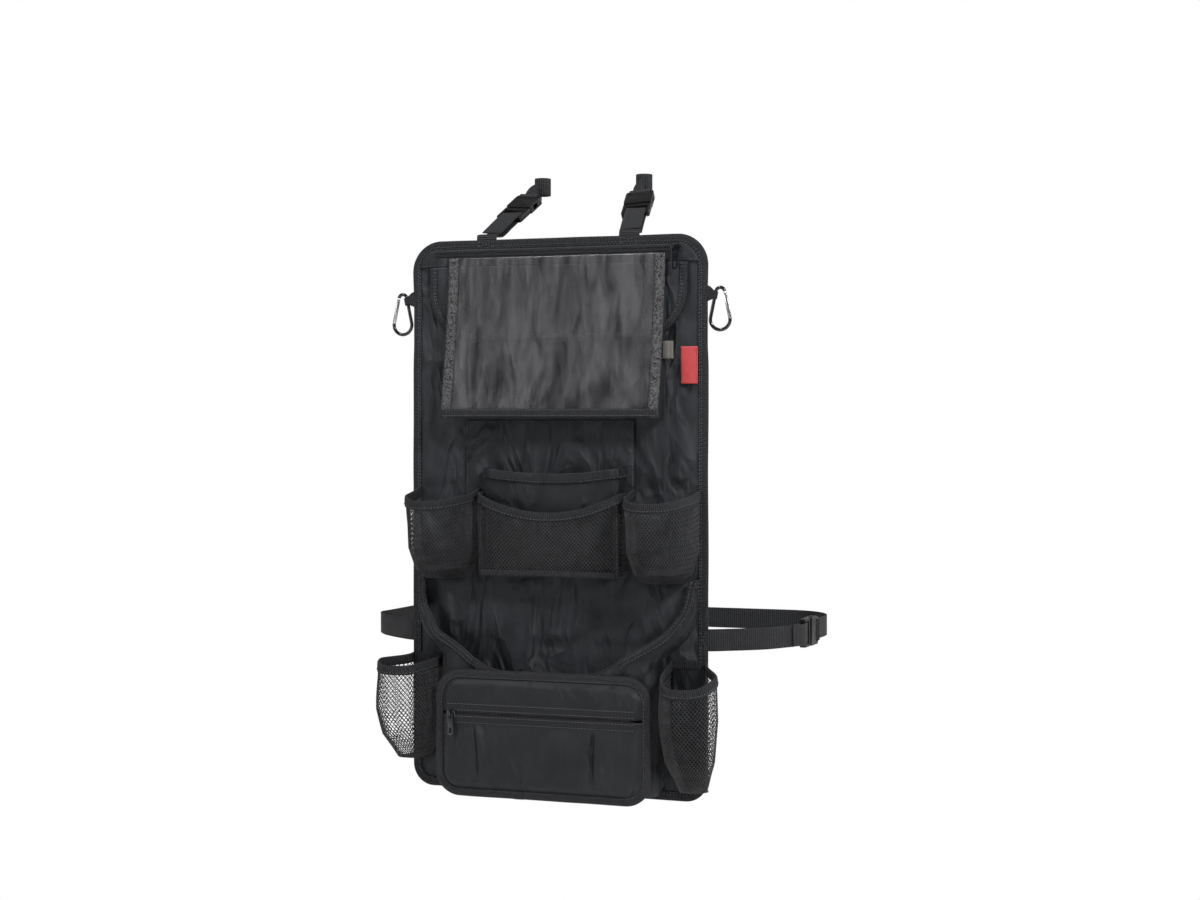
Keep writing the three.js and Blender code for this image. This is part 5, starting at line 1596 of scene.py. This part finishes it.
# Middle of each post loop above the panel's top edge, and its distance from the buckle's middle
POST_X, POST_Y, POST_RISE, BUCKLE_TO_POST = 65.0, 115.0, 72.0, 61.5

for side, word in ((-1, "left"), (1, "right")):
    foot = Vector((side * STRAP_X, PANEL_MIDDLE, ORIGIN_DROP))
    post = Vector((side * POST_X, POST_Y, ORIGIN_DROP + POST_RISE))
    along = post - foot
    reach = along.length
    joint = reach - BUCKLE_TO_POST
    matrix = buckle_frame(foot + along.normalized() * joint, along, (1, 0, 0))
    path = [(foot.x, foot.y, 12.5), (foot.x, foot.y, 22), (foot.x, foot.y + 2.2, 26)]
    path += [
        tuple(matrix @ Vector((0, y, z))) for y, z in [(3.2, -joint + 14), *lock_path(min(joint - 12, 66))]
    ]
    strap, stations = webbing_strip(f"top_webbing_{word}", path, (1, 0, 0), f"top_strap_{word}")
    across = [st[3] for st in stations]
    seam = []
    for off in (-9.5, 9.5):
        p0, p1 = Vector((foot.x + off, -5.4, 10.5)), Vector((foot.x + off, -5.4, 18))
        seam.append(([p0, p1], FRONT))
    seam.append(([Vector((foot.x - 10, -5.4, 11)), Vector((foot.x + 10, -5.4, 18))], FRONT))
    seam.append(([Vector((foot.x - 10, -5.4, 18)), Vector((foot.x + 10, -5.4, 11))], FRONT))
    stitch_rows(f"top_bar_tack_{word}", seam, radius=0.4)
    body = f"upper_buckle_{word}"
    finished_copy(f"top_buckle_male_{word}", acetal, 0.5, "panel")
    finished_copy(f"top_buckle_female_{word}", acetal, 0.7, body)
    loop = bar_loop(f"post_loop_bar_{word}", matrix, body)
    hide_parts(f"post_loop_{word}")
    wide = matrix.to_3x3()

    def turned(t, wide=wide):
        angle = math.pi / 2 * ease(0.0, 1.0, t)
        return wide @ Vector((math.cos(angle), math.sin(angle), 0))

    twist_path = [tuple(matrix @ Vector((0, 0, z))) for z in (31.4, 36, 41, 46, 52.2)]
    webbing_strip(f"post_twist_{word}", twist_path, turned, body=body, half=10.6, thick=3.0, ripple=0.0)
    centre_at = matrix @ Vector((0, 0, reach - joint))
    e1, e2 = Vector((1, 0, 0)), Vector((0, 1, 0))
    ring = [
        centre_at + (e1 * math.cos(a) + e2 * math.sin(a)) * 8.9
        for a in [2 * math.pi * i / 40 for i in range(40)]
    ]
    webbing_strip(
        f"post_ring_{word}", ring, (0, 0, 1), body=body, half=10.6, thick=1.9, closed=True, ripple=0.0
    )

# The strap round the seat, seen from above: its sides, its rear run, the radius of its turns and the buckle's
# place
STRAP_SIDE, STRAP_REAR, STRAP_TURN, BUCKLE_Y = 262.0, 270.0, 60.0, 132.0
side_z = level(SIDE_DROP)
side_matrix = buckle_frame((STRAP_SIDE, BUCKLE_Y, side_z), (0, 1, 0), (0, 0, 1))
right_plan = [(174, PANEL_MIDDLE), (185, PANEL_MIDDLE), (204, 10), (227, 28), (244, 48)]
right_path = [(x, y, side_z) for x, y in right_plan]
right_path += [tuple(side_matrix @ Vector((0, y, z))) for y, z in lock_path(58)]
strap, stations = webbing_strip("side_webbing_right", right_path, (0, 0, 1))
strap.parent = None
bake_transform(strap)
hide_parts("side_strap_right")
wrap_turn = [(math.cos(math.radians(15 * i)), math.sin(math.radians(15 * i))) for i in range(7)]
# The straight runs have points near each turn too, so that the curve through them does not swing out.
turn_x, turn_y = STRAP_SIDE - STRAP_TURN, STRAP_REAR - STRAP_TURN
wrap_plan = [(STRAP_SIDE, y) for y in (163.2, 179, 194)]
wrap_plan += [(turn_x + STRAP_TURN * c, turn_y + STRAP_TURN * s) for c, s in wrap_turn]
wrap_plan += [(x, STRAP_REAR) for x in (186, 168, 140, 90, 0, -90, -140, -168, -186)]
wrap_plan += [(-turn_x - STRAP_TURN * c, turn_y + STRAP_TURN * s) for c, s in reversed(wrap_turn)]
wrap_plan += [(-STRAP_SIDE, y) for y in (194, 172, 140, 100, 74)]
wrap_plan += [(-244, 45), (-227, 28), (-204, 10), (-185, PANEL_MIDDLE), (-174, PANEL_MIDDLE)]
wrap_path = [(x, y, side_z) for x, y in wrap_plan]
webbing_strip("side_webbing_wrap", wrap_path, (0, 0, 1), "side_strap_wrap")
bar_loop("side_loop_bar", side_matrix, "panel")
finished_copy("side_buckle_male", acetal, 0.5, "side_buckle_half")
finished_copy("side_buckle_female", acetal, 0.7, "panel")
tacks = []
for sign in (-1, 1):
    for inner, outer in ((-9.5, -9.5), (9.5, 9.5), (-9.5, 9.5), (9.5, -9.5)):
        row = [Vector((sign * 172.5, -5.4, side_z + inner)), Vector((sign * 180.5, -5.4, side_z + outer))]
        tacks.append((row, FRONT))
stitch_rows("side_bar_tacks", tacks, radius=0.4)

# Snap hooks and their ribbons

# Wire radius, the radii of its two bends, the distance between their middles, and the upper one above the
# pivot
HOOK_R, HOOK_TOP_R, HOOK_LOW_R, HOOK_SPINE, HOOK_RISE = 2.0, 5.2, 11.5, 30.0, 4.5
# The pivot in the ribbon, and how far the hook leans out
HOOK_X, HOOK_DROP, HOOK_LEAN = 190.0, 70.0, 12.0
# Straight reach of the ribbon, the radius of its turn round the wire, and its half width at the seam and at
# the wire
RIBBON_REACH, RIBBON_TURN, RIBBON_WIDE, RIBBON_NARROW = 16.0, 2.9, 9.0, 4.2
hook_alpha = math.atan((HOOK_LOW_R - HOOK_TOP_R) / HOOK_SPINE)


def hook_points():
    """The wire's middle line: round the upper bend, down the spine and round the lower bend."""
    points = []
    for (cx, cz), radius, a0, a1, count in (
        ((HOOK_TOP_R, HOOK_RISE), HOOK_TOP_R, 2 * hook_alpha, math.pi, 14),
        ((HOOK_LOW_R, HOOK_RISE - HOOK_SPINE), HOOK_LOW_R, math.pi, 2 * math.pi + 2 * hook_alpha, 24),
    ):
        for i in range(count + 1):
            angle = a0 + (a1 - a0) * i / count
            points.append(Vector((cx + radius * math.cos(angle), 0, cz + radius * math.sin(angle))))
    return points


def round_wire(name, path, radius, material, body, sides=14):
    """A round wire along a path."""
    stations = frames_along(path, Vector((0, 1, 0)))
    ring = [
        (radius * math.cos(2 * math.pi * k / sides), radius * math.sin(2 * math.pi * k / sides))
        for k in range(sides)
    ]
    return band(name, stations, ring, material, body=body)


for side, word in ((-1, "left"), (1, "right")):
    place = Matrix.Translation((side * HOOK_X, PANEL_MIDDLE, level(HOOK_DROP)))
    place = place @ Matrix.Rotation(math.radians(side * HOOK_LEAN), 4, "Y") @ Matrix.Scale(side, 4, (1, 0, 0))
    wire = round_wire(
        f"snap_hook_wire_{word}", [place @ p for p in hook_points()], HOOK_R, enamel, f"hook_{word}"
    )
    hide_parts(f"carabiner_body_{word}")
    gate = finished_copy(f"carabiner_gate_{word}", aluminium, 0.4, f"gate_{word}", angle=50)
    gate.data.set_sharp_from_angle(angle=math.radians(60))
    finished_copy(f"carabiner_pin_{word}", aluminium, 0.15, f"gate_{word}", angle=50)

    def ribbon_point(u, v, place=place):
        """u runs out along one face, round the wire and back along the other; v across the ribbon."""
        reach, turn = RIBBON_REACH, RIBBON_TURN
        arc = math.pi * turn
        if u < reach:
            x, y, t = -reach + u, turn * min(1.0, 0.42 + 0.58 * (u / reach) ** 1.5), u / reach
        elif u < reach + arc:
            angle = math.pi / 2 - (u - reach) / turn
            x, y, t = turn * math.cos(angle), turn * math.sin(angle), 1.0
        else:
            back = u - reach - arc
            x, y, t = -back, -turn * min(1.0, 0.42 + 0.58 * (1 - back / reach) ** 1.5), 1 - back / reach
        width = RIBBON_WIDE + (RIBBON_NARROW - RIBBON_WIDE) * ease(0.35, 1.0, t)
        pucker = 0.5 * math.sin(v * 9.0) * ease(0.4, 1.0, t)
        return tuple(place @ Vector((x, y + pucker * (1 if y > 0 else -1) * 0.6, v * width)))

    length = 2 * RIBBON_REACH + math.pi * RIBBON_TURN
    ribbon = cloth_sheet(
        f"hook_ribbon_{word}", ribbon_point, steps(0, length, 1.2), steps(-1, 1, 0.125),
        grosgrain, 0.8, offset=1.0, uv=lambda u, v: (u, v * RIBBON_WIDE),
    )
    fix_normals(ribbon)
    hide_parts(f"carabiner_loop_{word}")

# End

low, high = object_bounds()
